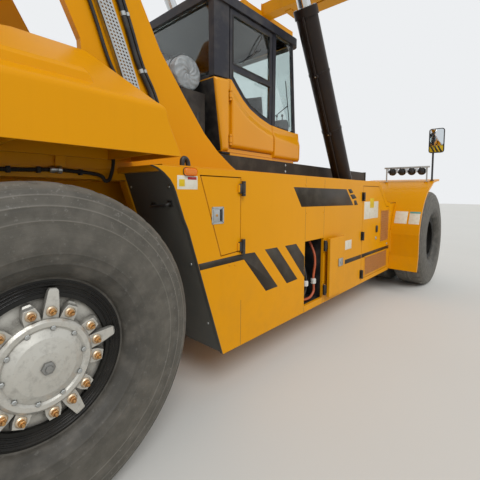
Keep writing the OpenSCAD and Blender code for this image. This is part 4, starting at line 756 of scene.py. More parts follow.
def pad(centre, half, channels=()):
    """Upholstered pad: a superellipsoid, whose sines and cosines are raised to powers below 1, so that its
    faces are crowned and its sides pull in; channels press a bell 9 mm wide and 6 mm deep into the top along
    y."""
    round_it, up_it = 0.35, 0.45

    def power(c, e):
        """The size of c raised to e, with the sign of c."""
        return np.sign(c) * np.abs(c) ** e

    v = np.linspace(-math.pi / 2 + 0.02, math.pi / 2 - 0.02, 40)[:, None]
    u = np.linspace(0, 2 * math.pi, 96, endpoint=False)[None, :]
    x = half[0] * power(np.cos(v), up_it) * power(np.cos(u), round_it)
    y = half[1] * power(np.cos(v), up_it) * power(np.sin(u), round_it)
    z = half[2] * power(np.sin(v), up_it) + 0 * u
    for place in channels:
        z = z - 0.006 * np.exp(-(((y - place) / 0.009) ** 2)) * np.clip(z / half[2], 0, 1)
    return surface(np.stack([x, y, z], -1) + np.asarray(centre), wrap_cols=True, caps=True)


# each door's body, its pins' x and heights, and on which side of the pins it hangs
HINGES = (("service_hatch_{}", 1.432, (1.166, 1.616), -1), ("bay_hatch_{}", 3.872, (0.497, 1.016, 1.544), 1),
          ("port_hatch", 2.803, (0.520, 1.010), -1))
# outlines of the dark stripes, x and z
STRIPES = [
    [(1.004, 1.046), (1.465, 1.054), (1.757, 0.735), (1.935, 0.738), (1.598, 1.095), (1.398, 1.102),
     (0.989, 1.093)],
    [(2.082, 0.736), (2.269, 0.741), (1.915, 1.098), (1.735, 1.101)],
    [(2.397, 0.733), (2.393, 0.944), (2.234, 1.094), (2.042, 1.096)],
    [(3.257, 0.713), (3.872, 0.713), (3.872, 0.766), (3.225, 0.766)],
    [(4.976, 0.713), (4.999, 0.713), (4.999, 0.766), (4.976, 0.766)],
    [(2.319, 1.450), (3.569, 1.437), (3.348, 1.636), (2.171, 1.642)],
    [(3.458, 1.584), (3.558, 1.597), (3.489, 1.642), (3.396, 1.636)],
    [(3.538, 1.513), (3.668, 1.527), (3.585, 1.576), (3.459, 1.569)],
    [(3.606, 1.436), (3.712, 1.440), (3.654, 1.499), (3.581, 1.496)],
]


class REACH_OT_markings(bpy.types.Operator):
    """Lays the dark stripes, the blank stickers, the panels' seams as black strips of painted shade, and
    their rivets on both sides.
    """

    bl_idname = "reach_stacker.markings"
    bl_label = "Stripes, stickers and seams"

    def execute(self, context):
        twin("stripes_{}", [on_face(p) for p in STRIPES], "machine", "stripe_film")
        twin("bay_stripe_{}", [on_face(rect(3.887, 4.967, 0.713, 0.766, 0.001))], "bay_hatch_{}",
             "stripe_film")
        # the seams are black strips 3 mm wide on the sheet: painted shade for the gaps between the panels
        seams = [rect(x - 0.0015, x + 0.0015, low, high, 0.0005) for x, low, high in (
            (2.400, 1.10, 1.738), (2.795, 1.10, 1.738), (2.400, 0.372, 0.430), (2.795, 0.372, 0.430),
            (1.430, 0.372, 0.735), (1.430, 1.103, 1.112))]
        twin("seams_{}", [on_face(p, 0.0003, 0.0001) for p in seams], "machine", "black_plastic")
        studs = [(2.398, 1.668), (2.789, 1.668), (2.420, 1.387), (2.775, 1.380), (1.30, 1.035), (1.36, 1.030)]
        heads = [(0, 0), (0.011, 0), (0.010, 0.002), (0.006, 0.004), (0, 0.0046)]
        twin("panel_rivets_{}", [knob((x, -BODY_Y, z), heads, steps=16) for x, z in studs], "machine",
             "yellow_enamel")
        for name, body, coat, out, soft, edges in (
            ("rear", "machine", "label_vinyl", 0.0006, 0.003, (0.812, 0.981, 1.604, 1.693)),
            ("rear_yellow", "machine", "label_yellow", 0.0010, 0.002, (0.826, 0.872, 1.622, 1.668)),
            ("rear_red", "machine", "red_lens", 0.0010, 0.002, (0.896, 0.972, 1.668, 1.686)),
            ("bay", "bay_hatch_{}", "label_vinyl", 0.0006, 0.006, (3.935, 4.470, 1.235, 1.475)),
            ("bay_yellow", "bay_hatch_{}", "label_yellow", 0.0010, 0.003, (4.140, 4.290, 1.385, 1.520)),
        ):
            twin("sticker_" + name + "_{}", [on_face(rect(*edges, soft), out)], body, coat)
        # the web that closes the gap between the bay door and the mudguard's curve
        a = np.pi - np.arcsin((np.linspace(0.905, 1.432, 12) - AXLE_Z) / GUARD_R)
        guard = np.stack([WHEELBASE + GUARD_R * np.cos(a), AXLE_Z + GUARD_R * np.sin(a)], 1)
        web = np.concatenate([[(4.9985, 0.386), (5.012, 0.386), (5.058, 0.606)], guard, [(4.9985, 1.432)]])
        twin("front_webs_{}", [plate(web, -1.6292, -1.6100, 0.001)], "machine", "yellow_enamel")
        piece("sticker_port", [on_face(rect(3.240, 3.545, 0.890, 1.003, 0.004))], "machine", "label_vinyl")
        piece("sticker_port_green", [on_face(rect(3.252, 3.325, 0.905, 0.990, 0.002), 0.0010)], "machine",
              "label_green")
        # stickers round the mudguard's rear: part of a ring 0.9 mm thick, between two heights
        r, t = GUARD_R + 0.0011, 0.0009
        for name, ys, zs, coat in (("one", (1.672, 1.856), (1.115, 1.305), "label_vinyl"),
                                   ("two", (1.884, 2.036), (1.115, 1.277), "label_vinyl"),
                                   ("top", (1.884, 2.036), (1.279, 1.305), "label_teal")):
            a = np.pi - np.arcsin((np.linspace(*zs, 9) - AXLE_Z) / r)
            arc = np.stack([np.cos(a), np.sin(a)], 1)
            loop = np.concatenate([r * arc, (r - t) * arc[::-1]]) + [WHEELBASE, AXLE_Z]
            twin("sticker_guard_" + name + "_{}", [plate(loop, -ys[1], -ys[0], 0.0001)], "machine", coat)
        return {"FINISHED"}


class REACH_OT_doors(bpy.types.Operator):
    """Fits the hinges' black leaves and sleeves, the latch, the locks and the fine mesh of the bay doors."""

    bl_idname = "reach_stacker.doors"
    bl_label = "Door furniture"

    def execute(self, context):
        sleeve = np.array([(0, -0.5), (0.0164, -0.5), (0.0164, 0.5), (0, 0.5)])
        cover = np.array([(0.036, -0.0196), (0.036, -0.0030), (0, 0.0035), (0, -0.014), (0.016, -0.014),
                          (0.016, -0.0196)])
        for body, x, heights, way in HINGES:
            fixed, moving = [], []
            # the port door stands open, turned half round on its pins
            shut = -1 if body == "port_hatch" else 1
            y = -BODY_Y - 0.020
            left, right = sorted((x - way * 0.032, x - way * 0.006))
            arm = np.stack([x + shut * way * cover[:, 0], y - shut * cover[:, 1]], 1)
            for z in heights:
                fixed += [turned(sleeve * [1, 0.0195], (x, y, z + k * 0.0475), "z", 20) for k in (-1, 1)]
                fixed.append(plate(rect(left, right, z - 0.058, z + 0.058, 0.003), y + 0.0155, y + 0.0204,
                                   0.001))
                moving.append(turned(sleeve * [1, 0.072], (x, y, z), "z", 20))
                moving.append(plate(arm, z - 0.0365, z + 0.0365, 0.0008, plane="xy"))
            name = body.split("_")[0]
            make, end = (twin, "_{}") if shut > 0 else (piece, "")
            make(name + "_hinge_leaves" + end, fixed, "machine", "black_plastic")
            make(name + "_hinge_arms" + end, moving, body, "black_plastic")
        # slam latch of the service door: frame, tray, paddle and key barrel
        surround = rect(1.112, 1.232, 1.358, 1.482, 0.006)
        surround = rim_ring(surround, 0.013, -BODY_Y - 0.0035, -BODY_Y + 0.0055)
        tray = plate(rect(1.1190, 1.2250, 1.3650, 1.4750), -BODY_Y + 0.0035, -BODY_Y + 0.0058, 0.0004)
        paddle = plate(rect(1.130, 1.194, 1.378, 1.462, 0.006), -BODY_Y - 0.0015, -BODY_Y + 0.0036, 0.0015)
        grip = plate(rect(1.200, 1.214, 1.378, 1.462, 0.003), -BODY_Y - 0.0030, -BODY_Y + 0.0036, 0.0012)
        key = [(0, -0.001), (0.010, -0.001), (0.010, 0.003), (0.0085, 0.004), (0.003, 0.004), (0.003, 0.002),
               (0, 0.002)]
        twin("service_latch_{}", [surround, tray, paddle], "service_hatch_{}", "bright_zinc")
        twin("service_latch_grip_{}", [grip], "service_hatch_{}", "black_plastic")
        twin("service_key_{}", [knob((1.162, -BODY_Y - 0.0012, 1.42), key)], "service_hatch_{}", "zinc_studs")
        rose = [(0, -0.001), (0.026, -0.001), (0.026, 0.003), (0.022, 0.006), (0.014, 0.007), (0.013, 0.004),
                (0, 0.004)]
        small = [(0.7 * r, h) for r, h in rose]
        twin("bay_locks_{}", [knob((4.413, -BODY_Y, 0.937), rose), knob((4.899, -BODY_Y, 0.800), small)],
             "bay_hatch_{}", "bright_zinc")
        handle = plate(rect(4.390, 4.450, 1.020, 1.122, 0.028), -BODY_Y - 0.016, -BODY_Y + SINK, 0.006)
        twin("bay_handle_{}", [handle], "bay_hatch_{}", "black_plastic")
        # fine mesh over the bay door's two grilles, in flat frames that lap over its border
        pitch, lap = 0.012, 0.008
        for name, x0, z0, nu, nv in (("upper", 4.590, 0.856, 30, 40), ("lower", 4.000, 0.4475, 75, 22)):
            sheet = perforated(
                lambda u, v, w: np.stack([x0 + pitch * u, -BODY_Y - 0.0006 - w, z0 + pitch * v], -1),
                nu, nv, 0.33, 0.0009)
            border = rect(x0 - lap, x0 + nu * pitch + lap, z0 - lap, z0 + nv * pitch + lap, 0.004)
            ring = rim_ring(border, 0.016, -BODY_Y - 0.0036, -BODY_Y + 0.0002)
            twin("bay_mesh_" + name + "_{}", [sheet], "bay_hatch_{}", "mesh_enamel")
            twin("bay_mesh_frame_" + name + "_{}", [ring], "bay_hatch_{}", "yellow_enamel")
        # the open port door: the latch on the face that shows
        y = -1.7004
        latch = [plate(rect(3.020, 3.130, 0.752, 0.842, 0.008), y - 0.012, y + 0.001, 0.003),
                 knob((3.075, y - 0.012, 0.797), [(0, -0.001), (0.016, -0.001), (0.016, 0.006), (0, 0.008)])]
        piece("port_latch", latch, "port_hatch", "bright_zinc")
        return {"FINISHED"}


class REACH_OT_charging_bay(bpy.types.Operator):
    """Fills the open port with its coolant hoses, couplings and socket."""

    bl_idname = "reach_stacker.charging_bay"
    bl_label = "Charging bay"

    def execute(self, context):
        y = -1.562
        orange = [(2.748, y + 0.10, 1.085), (2.746, y + 0.02, 0.93), (2.737, y, 0.815), (2.722, y, 0.742),
                  (2.706, y, 0.660), (2.718, y, 0.557), (2.712, y, 0.500), (2.650, y, 0.458),
                  (2.560, y, 0.452), (2.470, y, 0.466), (2.412, y, 0.470)]
        front = [(2.560, y + 0.16, 1.085), (2.548, y + 0.05, 0.86), (2.543, y, 0.700), (2.540, y, 0.560),
                 (2.500, y + 0.01, 0.500), (2.412, y + 0.02, 0.490)]
        right = [(2.640, y + 0.20, 1.090), (2.650, y + 0.16, 0.90), (2.600, y + 0.12, 0.72),
                 (2.620, y + 0.12, 0.56), (2.780, y + 0.14, 0.50)]
        left = [(2.425, y + 0.10, 1.085), (2.440, y + 0.08, 0.90), (2.470, y + 0.10, 0.70),
                (2.440, y + 0.12, 0.50), (2.412, y + 0.14, 0.47)]
        piece("bay_hose_orange", [pipe(orange, 0.0135, 10, 16)], "machine", "orange_hose")
        black = [pipe(front, 0.0125, 10, 16), pipe(right, 0.011, 10, 14), pipe(left, 0.011, 10, 14)]
        piece("bay_hose_black", black, "machine", "hose_rubber")
        ribs = [(0, -0.030), (0.020, -0.030), (0.021, -0.027)]
        for k in range(9):
            at = -0.024 + 0.0053 * k
            ribs += [(0.0275, at), (0.0290, at + 0.0012), (0.0290, at + 0.0028), (0.0275, at + 0.0040)]
        ribs += [(0.022, 0.026), (0.021, 0.030), (0, 0.030)]
        caps = [turned(ribs, (x, y, z), "z", 28) for x, z in ((2.542, 0.628), (2.710, 0.622))]
        piece("bay_couplings", caps, "machine", "white_nylon")
        ring = [(0.064, 0.0), (0.094, 0.0), (0.100, 0.004), (0.100, 0.012), (0.090, 0.018), (0.066, 0.018),
                (0.064, 0.014)]
        screws = [bolt((2.590 + 0.082 * math.cos(a), -1.400, 0.960 + 0.082 * math.sin(a)), 0.006)
                  for a in np.radians([45, 135, 225, 315])]
        ring = turned(ring, (2.590, -1.382, 0.960), "y", 40, -1, loop=True)
        piece("socket_ring", [ring, *sum(screws, [])], "machine", "white_nylon")
        return {"FINISHED"}


# foot and top of the rear arch's flat wall, x and z, its length, and the directions along it and off it
ARCH_FOOT, ARCH_TOP = np.array([1.233, 0.372]), np.array([0.765, 1.738])
ARCH_LENGTH = np.linalg.norm(ARCH_TOP - ARCH_FOOT)
ARCH_ALONG = (ARCH_TOP - ARCH_FOOT) / ARCH_LENGTH
ARCH_OFF = np.array([ARCH_ALONG[1], -ARCH_ALONG[0]])


def slab(t0, t1, y0, y1, d0, d1, edge=0.002):
    """Plate on the arch's wall: t0 to t1 up along it, y0 to y1 across and d0 to d1 off it, away from the
    wheel."""
    a, b = ARCH_FOOT + ARCH_ALONG * t0, ARCH_FOOT + ARCH_ALONG * t1
    corners = np.array([a + ARCH_OFF * d0, a + ARCH_OFF * d1, b + ARCH_OFF * d1, b + ARCH_OFF * d0])
    return plate(corners, y0, y1, edge)


def on_wall(t, y, d):
    """Point t up along the arch's wall, at y across and d off it towards the wheel."""
    x, z = ARCH_FOOT + ARCH_ALONG * t - ARCH_OFF * d
    return x, y, z


class REACH_OT_wheel_arch(bpy.types.Operator):
    """Hangs the flat dark lining in the rear arches with its handle, and runs the cable under the hoods."""

    bl_idname = "reach_stacker.wheel_arch"
    bl_label = "Wheel arches"

    def execute(self, context):
        lining = slab(0, ARCH_LENGTH, -1.5985, -1.046, 0, 0.008, 0.001)
        rim = np.array([[0.631, 1.747], [0.673, 1.732], [0.716, 1.705], [0.760, 1.666], [0.788, 1.625],
                        [0.807, 1.583], [0.835, 1.505], [0.869, 1.413], [0.904, 1.338], [1.233, 0.365]])
        edge = plate(np.concatenate([rim - [0.0016, 0.0004], (rim + [0.004, 0.0004])[::-1]]), -1.6294,
                     -1.5985, 0.0004)
        piece("arch_linings", [lining, mirrored(lining), edge, mirrored(edge)], "machine", "arch_lining",
              ("arch_walls",))
        post = slab(0.34, ARCH_LENGTH - 0.075, -1.0455, -0.955, -0.012, 0.006)
        twin("arch_posts_{}", [post], "machine", "yellow_enamel")
        # grab handle: a bar off the wall between two feet
        t = 1.185
        handle = pipe([on_wall(t, -1.318, -0.002), on_wall(t, -1.320, 0.022), on_wall(t, -1.334, 0.034),
                       on_wall(t + 0.004, -1.380, 0.037), on_wall(t + 0.010, -1.460, 0.037),
                       on_wall(t + 0.016, -1.500, 0.034), on_wall(t + 0.018, -1.514, 0.022),
                       on_wall(t + 0.018, -1.516, -0.002)], 0.0115, 8, 14, up=(0.3, 0.2, 0.9))
        feet = [slab(t - 0.022, t + 0.022, -1.345, -1.295, -0.006, 0.001),
                slab(t - 0.004, t + 0.040, -1.541, -1.491, -0.006, 0.001)]
        twin("arch_handles_{}", [handle, *feet], "machine", "black_plastic")
        dots = [turned([(0, 0), (0.011, 0), (0.008, 0.005), (0, 0.006)], on_wall(q, y, 0.0), "x", 14, -1)
                for q in (0.25, 0.75, 1.32) for y in (-1.085, -1.55)]
        twin("arch_screws_{}", dots, "machine", "bright_zinc")
        # corrugated cable along the step, whose radius waves every 8 mm, and its connector
        y = -1.060
        line = bent([(-0.745, y, 1.700), (-0.40, y, 1.706), (-0.05, y, 1.708), (0.123, y, 1.712),
                     (0.299, y, 1.722), (0.417, y - 0.006, 1.716), (0.528, y - 0.02, 1.706),
                     (0.580, y - 0.03, 1.690), (0.604, y - 0.03, 1.660), (0.632, y - 0.03, 1.668),
                     (0.650, y - 0.03, 1.712), (0.664, y - 0.028, 1.770), (0.668, y - 0.026, 1.835)], 70)
        run = reach(line)
        at = np.arange(0, run[-1], 0.0027)
        line = np.stack([np.interp(at, run, line[:, k]) for k in range(3)], 1)
        cable = tube(line, 0.0125 + 0.0017 * np.cos(2 * math.pi * at / 0.0081), 12)
        clips = [block((x - 0.010, y - 0.017, z - 0.020), (x + 0.010, -1.0395, z + 0.019), 0.003)
                 for x, z in ((-0.6, 1.703), (-0.2, 1.7075), (0.045, 1.710), (0.20, 1.716), (0.45, 1.713))]
        twin("hood_cable_{}", [cable, *clips], "machine", "hose_rubber")
        nut = [(0, -0.036), (0.018, -0.036), (0.023, -0.030), (0.023, -0.006), (0.019, -0.004),
               (0.019, 0.006), (0.026, 0.008), (0.026, 0.030), (0.020, 0.036), (0, 0.036)]
        twin("hood_connector_{}", [turned(nut, (0.299, y, 1.722), "x", 18)], "machine", "bright_zinc")
        # elbow on the deck beside the hood
        bend = pipe([(1.035, -1.40, 1.758), (1.033, -1.40, 1.795), (1.036, -1.40, 1.820),
                     (1.050, -1.40, 1.833), (1.070, -1.40, 1.826), (1.084, -1.40, 1.802),
                     (1.088, -1.40, 1.762)], 0.019, 8, 16)
        foot = block((1.010, -1.428, 1.7595), (1.112, -1.372, 1.765), 0.002)
        twin("deck_elbow_{}", [bend, foot], "machine", "black_plastic")
        return {"FINISHED"}


class REACH_OT_tower_dress(bpy.types.Operator):
    """Perforated guard and hoses on the tower's right plate, film on the drum, straps on the tank."""

    bl_idname = "reach_stacker.tower_dress"
    bl_label = "Tower and tank"

    def execute(self, context):
        line = bent([(0.990, 0.0, 2.062), (0.800, 0.0, 2.600), (0.520, 0.0, 3.298)], 120)
        run = reach(line)
        pitch = 0.0245

        def on_guard(u, v, w):
            """Point of the guard: u pitches back from its front edge, v pitches up along it and w out."""
            s = np.asarray(v) * pitch + 0.006
            x = np.interp(s, run, line[:, 0]) - 0.008 - u * pitch
            return np.stack([x, -1.0790 - w + 0 * x, np.interp(s, run, line[:, 2])], -1)

        rows = int((run[-1] - 0.012) / pitch)
        sheet = perforated(on_guard, 4, rows, 0.31, 0.0013)
        rail = line[::6][:, [0, 2]]
        sides = [plate(np.concatenate([rail - [d, 0], (rail - [d + 0.008, 0])[::-1]]), -1.0803, -1.0305,
                       0.001) for d in (0.0, 0.107)]
        piece("hose_cover", [sheet, *sides], "machine", "bright_zinc", ("hose_guard",))
        y = -1.052
        main = [(1.110, y, 2.040), (1.010, y, 2.330), (0.893, y, 2.545), (0.790, y, 2.830), (0.640, y, 3.220),
                (0.560, y, 3.420)]
        thin = [(x + 0.040, y + 0.006, z + 0.012) for x, _, z in main]
        back = [(x - 0.225, y + 0.004, z - 0.04) for x, _, z in main]
        piece("tower_hoses", [pipe(main, 0.019, 14, 16), pipe(thin, 0.0125, 14, 14),
                              pipe(back, 0.0125, 14, 14)], "machine", "hose_rubber")
        bands = []
        line = bent(main, 20)
        for share in (0.10, 0.36, 0.62, 0.88):
            i = int(share * (len(line) - 1))
            p, ahead = line[i], line[i + 1] - line[i]
            d = ahead / np.linalg.norm(ahead)
            q = p + [0.040, 0.006, 0.012]
            bands.append(tube([p - 0.014 * d, p + 0.014 * d], 0.0215, 18))
            bands.append(tube([q - 0.012 * d, q + 0.012 * d], 0.0150, 16))
            bands.append(block((p[0] - 0.012, -1.040, p[2] - 0.015), (p[0] + 0.055, -1.0302, p[2] + 0.020)))
            bands += bolt((p[0] + 0.017, -1.041, p[2] + 0.004), 0.007)
        piece("hose_clamps", bands, "machine", "bright_zinc")
        # film: radius with three waves of folds, gathered towards both ends
        a = np.linspace(0, 2 * math.pi, 160, endpoint=False)[None, :]
        t = np.linspace(0, 1, 120)[:, None]
        fold = 0.5 + 0.5 * np.sin(7 * a + 5 * np.sin(3 * a) + 9 * t) * np.sin(11 * t + 4 * np.sin(2 * a))
        fold = fold + 0.4 * np.abs(np.sin(17 * a + 23 * t + 3 * np.sin(5 * a + 8 * t)))
        start, length, core = -0.703, 1.166, 0.155
        y = start + length * t + 0 * a
        ends = 1 - np.exp(-np.minimum(t, 1 - t) * length / 0.010)
        r = core + (0.1662 + 0.0058 * fold - core) * ends
        film = np.stack([DRUM_X + r * np.cos(a), y, DRUM_Z + r * np.sin(a)], -1)
        caps = []
        u = np.linspace(0, 1, 14)[:, None]
        bulge = 0.010 * np.sin(math.pi * u) + 0.003 * np.sin(9 * a[0] + 14 * u)
        for side, edge in ((-1, film[0]), (1, film[-1])):
            c = np.array([DRUM_X, edge[0, 1], DRUM_Z])
            disc = c + (edge - c) * (1 - u[..., None])
            disc[..., 1] += side * bulge
            caps.append(disc[:-1])
        whole = np.concatenate([caps[0][::-1], film[1:-1], caps[1]])
        piece("drum_film", [surface(whole, wrap_cols=True, caps=True)], "machine", "polythene", sharp=60)
        bands = [turned([(0.1738, -0.004), (0.1775, 0), (0.1738, 0.004), (0.170, 0)], (DRUM_X, y, DRUM_Z),
                        "y", 48, 1, loop=True) for y in (-0.62, -0.10, 0.38)]
        piece("drum_bands", bands, "machine", "black_plastic")
        # tank: two straps on each end, sight gauge and the switch boxes' buttons
        straps = [block((x, y, 1.745), (x + 0.045, y + 0.003, 2.40), 0.001) for y in (-0.7425, 0.7395)
                  for x in (1.52, 1.74)]
        gauge = [block((1.600, -0.7540, 1.95), (1.632, -0.7400, 2.20), 0.003)]
        piece("tank_straps", straps + gauge, "machine", "black_plastic")
        piece("tank_gauge", [block((1.608, -0.7560, 1.975), (1.624, -0.7535, 2.175), 0.001)], "machine",
              "clear_lens")
        dots = [knob((1.4490, -0.770, z), [(0, 0), (0.011, 0), (0.011, 0.006), (0, 0.008)], "x", -1, 16)
                for z in (2.380, 2.450)]
        piece("switch_buttons", dots, "machine", "white_nylon")
        return {"FINISHED"}


# lower edge of the cab's windows, x and z
CAB_CURVE = np.array([(1.874, 2.763), (2.048, 2.780), (2.130, 2.795), (2.205, 2.725), (2.322, 2.622),
                      (2.445, 2.544), (2.631, 2.475), (2.831, 2.426), (3.047, 2.413), (3.330, 2.402),
                      (3.482, 2.400)])


def moulding(low, top, rear, front, crown, rise, soft):
    """Moulded skin on the cab's right side. Its points run from the rear seam to the front one, each given by
    heights and x, and upwards from the lower edge to CAB_CURVE less top. It stands out by crown, and by rise
    more where it is deeper than 0.05 to 0.17 m below the windows, along a cubic ease. Towards each edge the
    height falls off as a quarter of an ellipse, as wide as soft says: rear, front, lower and upper edge."""
    u = (0.5 - 0.5 * np.cos(np.linspace(0, math.pi, 110)))[:, None]
    v = (0.5 - 0.5 * np.cos(np.linspace(0, math.pi, 90)))[None]
    z = 2.4 + 0 * (u + v)
    for _ in range(3):
        start, end = np.interp(z, *rear), np.interp(z, *front)
        x = start + u * (end - start)
        ceiling = np.interp(x, *CAB_CURVE.T) - top
        z = low + v * (ceiling - low)
    start, end = np.interp(z, *rear), np.interp(z, *front)
    x = start + u * (end - start)
    line = CAB_CURVE[2:] - [0, top]
    t = np.linspace(0, 1, 12)[:, None, None]
    line = (line[:-1] * (1 - t) + line[1:] * t).reshape(-1, 2)
    below = np.sqrt(((x[..., None] - line[:, 0]) ** 2 + (z[..., None] - line[:, 1]) ** 2).min(-1))
    ease = np.clip((below - 0.05) / 0.12, 0, 1)
    height = crown + rise * ease**2 * (3 - 2 * ease)
    for away, width in zip((x - start, end - x, z - low, ceiling - z), soft):
        height = height * np.sqrt(1 - (1 - np.clip(away / width, 0, 1)) ** 2)
    return surface(np.stack([x, -0.8496 - height, z], -1))


def on_screen(*points):
    """Points ahead of the leaning windscreen, each given as y, height and distance from the glass."""
    return [(3.404 - (z - 2.433) * 0.0818 + d, y, z) for y, z, d in points]


class REACH_OT_cab_dress(bpy.types.Operator):
    """The cab's moulded skins, glazing rubber, wipers and handles, its seat and its controls."""

    bl_idname = "reach_stacker.cab_dress"
    bl_label = "Cab"

    def execute(self, context):
        upper = soft_corners([[2.148, 2.961], [2.819, 2.936], [2.819, 3.484], [2.148, 3.484]], 0.02)
        lower = [[2.148, 2.909], [2.148, 2.828], [2.222, 2.757], [2.338, 2.653], [2.458, 2.576],
                 [2.639, 2.510], [2.819, 2.471], [2.819, 2.884]]
        panes = [rim_ring(np.array(p), 0.016, -0.8505, -0.8465) for p in (upper, lower)]
        piece("cab_door_rubber", panes, "cab_door", "hose_rubber")
        # moulded skins: the door, the side ahead of it and the rounded column behind it
        nose = ((2.020, 2.060, 2.250, 2.403), (3.494, 3.508, 3.512, 3.482))
        tail = ((2.020, 2.763), (1.9865, 1.8755))
        door = moulding(2.070, 0.002, ((0,), (2.1135,)), ((0,), (2.8640,)), 0.006, 0.032,
                        (0.020, 0.010, 0.045, 0.014))
        side = moulding(2.024, 0.002, ((0,), (2.8840,)), nose, 0.006, 0.032, (0.010, 0.080, 0.050, 0.014))
        column = moulding(2.026, 0.006, tail, ((0,), (2.0760,)), 0.032, 0.0, (0.060, 0.028, 0.040, 0.030))
        for name, part, body in (("cab_door_skin", door, "cab_door"), ("cab_side_skin", side, "cab"),
                                 ("cab_column_skin", column, "cab")):
            piece(name, [part], body, "cab_enamel", open_sheet=True, sharp=60)
            piece(name + "_left", [mirrored(part)], "cab", "cab_enamel", open_sheet=True, sharp=60)
        grab = pipe([(2.600, -0.846, 2.878), (2.602, -0.872, 2.876), (2.630, -0.880, 2.874),
                     (2.760, -0.880, 2.870), (2.786, -0.872, 2.868), (2.788, -0.846, 2.868)], 0.010, 8, 14,
                    up=(0, 0.2, 1))
        piece("cab_door_handles", [grab], "cab_door", "black_plastic")
        # windscreen wiper: motor cap, arm and blade, 25 mm ahead of the leaning glass
        arm = on_screen((0.05, 2.452, 0.030), (-0.02, 2.48, 0.036), (-0.40, 2.64, 0.036),
                        (-0.725, 2.79, 0.026))
        blade = on_screen((-0.745, 2.50, 0.018), (-0.735, 2.65, 0.022), (-0.725, 2.79, 0.022),
                          (-0.715, 2.95, 0.022), (-0.705, 3.12, 0.018))
        wipers = [pipe(arm, 0.0065, 8, 10), pipe(blade, 0.0055, 10, 8)]
        wipers += [turned([(0, 0), (0.020, 0), (0.018, 0.030), (0, 0.034)], (3.402, 0.05, 2.452), "x", 18)]
        side_blade = pipe([(2.30, -0.862, 3.02), (2.45, -0.864, 3.13), (2.62, -0.862, 3.26)], 0.0055, 8, 8,
                          up=(0, 0, 1))
        side_arm = pipe([(2.66, -0.850, 3.45), (2.60, -0.870, 3.36), (2.45, -0.868, 3.13)], 0.006, 8, 10,
                        up=(0, 0, 1))
        piece("cab_wipers", wipers, "cab", "black_plastic")
        piece("cab_side_wiper", [side_blade, side_arm], "cab_door", "black_plastic")
        # black panel on the cab's rear wall, which leans back 0.11 m in 0.72 m: it stands for the dark room
        # that a cab glazed to the floor shows there, partly the seat's dark back and partly painted shade
        wall = np.array([[1.9835, 2.030], [1.9790, 2.030], [1.8690, 2.750], [1.8735, 2.750]])
        piece("cab_rear_shade_panel", [plate(wall, -0.840, 0.840, 0.001)], "cab", "black_plastic")
        # the cab's lower seal
        skirt = rim_ring(rect(1.990, 3.300, -0.842, 0.842, 0.05), 0.030, 2.004, 2.0195, plane="xy")
        piece("cab_lower_seal", [skirt], "cab", "hose_rubber")
        # floor, seat base with its bellows, column, dash and screen
        floor = block((2.064, -0.735, 2.0605), (3.436, 0.735, 2.0698), 0.001)
        heights = np.linspace(2.075, 2.300, 19)
        rings = [drawn_in(rect(2.250, 2.660, -0.225, 0.225, 0.05), 0.016 * (i % 2)) for i in range(19)]
        bellows = np.stack([np.column_stack([r, np.full(len(r), z)]) for r, z in zip(rings, heights)])
        pan = plate(rect(2.200, 2.690, -0.238, 0.238, 0.05), 2.301, 2.336, 0.006, plane="xy")
        shell = moved(plate(rect(-0.062, -0.030, -0.225, 0.225, 0.014), 0.03, 0.60, 0.010, plane="xy"),
                      SEAT_FOOT, *LEAN)
        stem = moved(block((-0.010, -0.060, 0.56), (0.004, 0.060, 0.70), 0.003), SEAT_FOOT - [0.005, 0, 0],
                     *LEAN)
        column = plate(soft_corners([[3.020, 2.070], [3.190, 2.070], [3.120, 2.400], [3.060, 2.500],
                                     [3.020, 2.480]], 0.03), -0.075, 0.075, 0.02)
        dash = plate(soft_corners([[3.160, 2.335], [3.325, 2.335], [3.330, 2.370], [3.290, 2.398],
                                   [3.170, 2.392]], 0.02), -0.555, 0.555, 0.012)
        consoles = [plate(soft_corners([[2.170, 2.424], [2.715, 2.424], [2.715, 2.520], [2.560, 2.545],
                                        [2.200, 2.470]], 0.03), s * 0.335 - 0.070, s * 0.335 + 0.070, 0.012)
                    for s in (-1, 1)]
        # wheel: rim, three spokes and hub, on an axis that leans 30 degrees
        c, s = math.cos(math.radians(30)), math.sin(math.radians(30))
        tilted = ((3.000, 0, 2.560), (c, 0, s), (0, 1, 0), (-s, 0, c))
        a = np.linspace(0, 2 * math.pi, 24, endpoint=False)
        rim = turned(np.stack([0.186 + 0.0135 * np.cos(a), 0.0135 * np.sin(a)], 1), (0, 0, 0), "z", 72,
                     loop=True)
        spokes = [moved(block((0.03, -0.014, -0.006), (0.178, 0.014, 0.002), 0.003), (0, 0, 0),
                        (math.cos(b), math.sin(b), 0), (-math.sin(b), math.cos(b), 0))
                  for b in np.radians([0, 120, 240])]
        boss = turned([(0, -0.12), (0.024, -0.12), (0.028, -0.02), (0.045, -0.010), (0.045, 0.004),
                       (0.034, 0.014), (0, 0.018)], (0, 0, 0), "z", 32)
        knob_top = turned([(0, 0.010), (0.008, 0.010), (0.008, 0.030), (0.020, 0.040), (0.024, 0.056),
                           (0.016, 0.070), (0, 0.074)], (0.186, 0, 0), "z", 24)
        wheel = [moved(p, *tilted) for p in (rim, *spokes, boss, knob_top)]
        # control sticks in gaiters of five folds
        stick = [(0, 0), (0.042, 0), (0.043, 0.006)]
        for i in range(5):
            z = 0.008 + 0.010 * i
            stick += [(0.036 - 0.005 * i, z), (0.040 - 0.005 * i, z + 0.005)]
        stick += [(0.012, 0.058), (0.010, 0.090), (0.020, 0.104), (0.026, 0.128), (0.024, 0.150),
                  (0.014, 0.162), (0, 0.166)]
        sticks = [turned(stick, (2.670, k * 0.360, 2.530), "z", 28) for k in (-1, 1)]
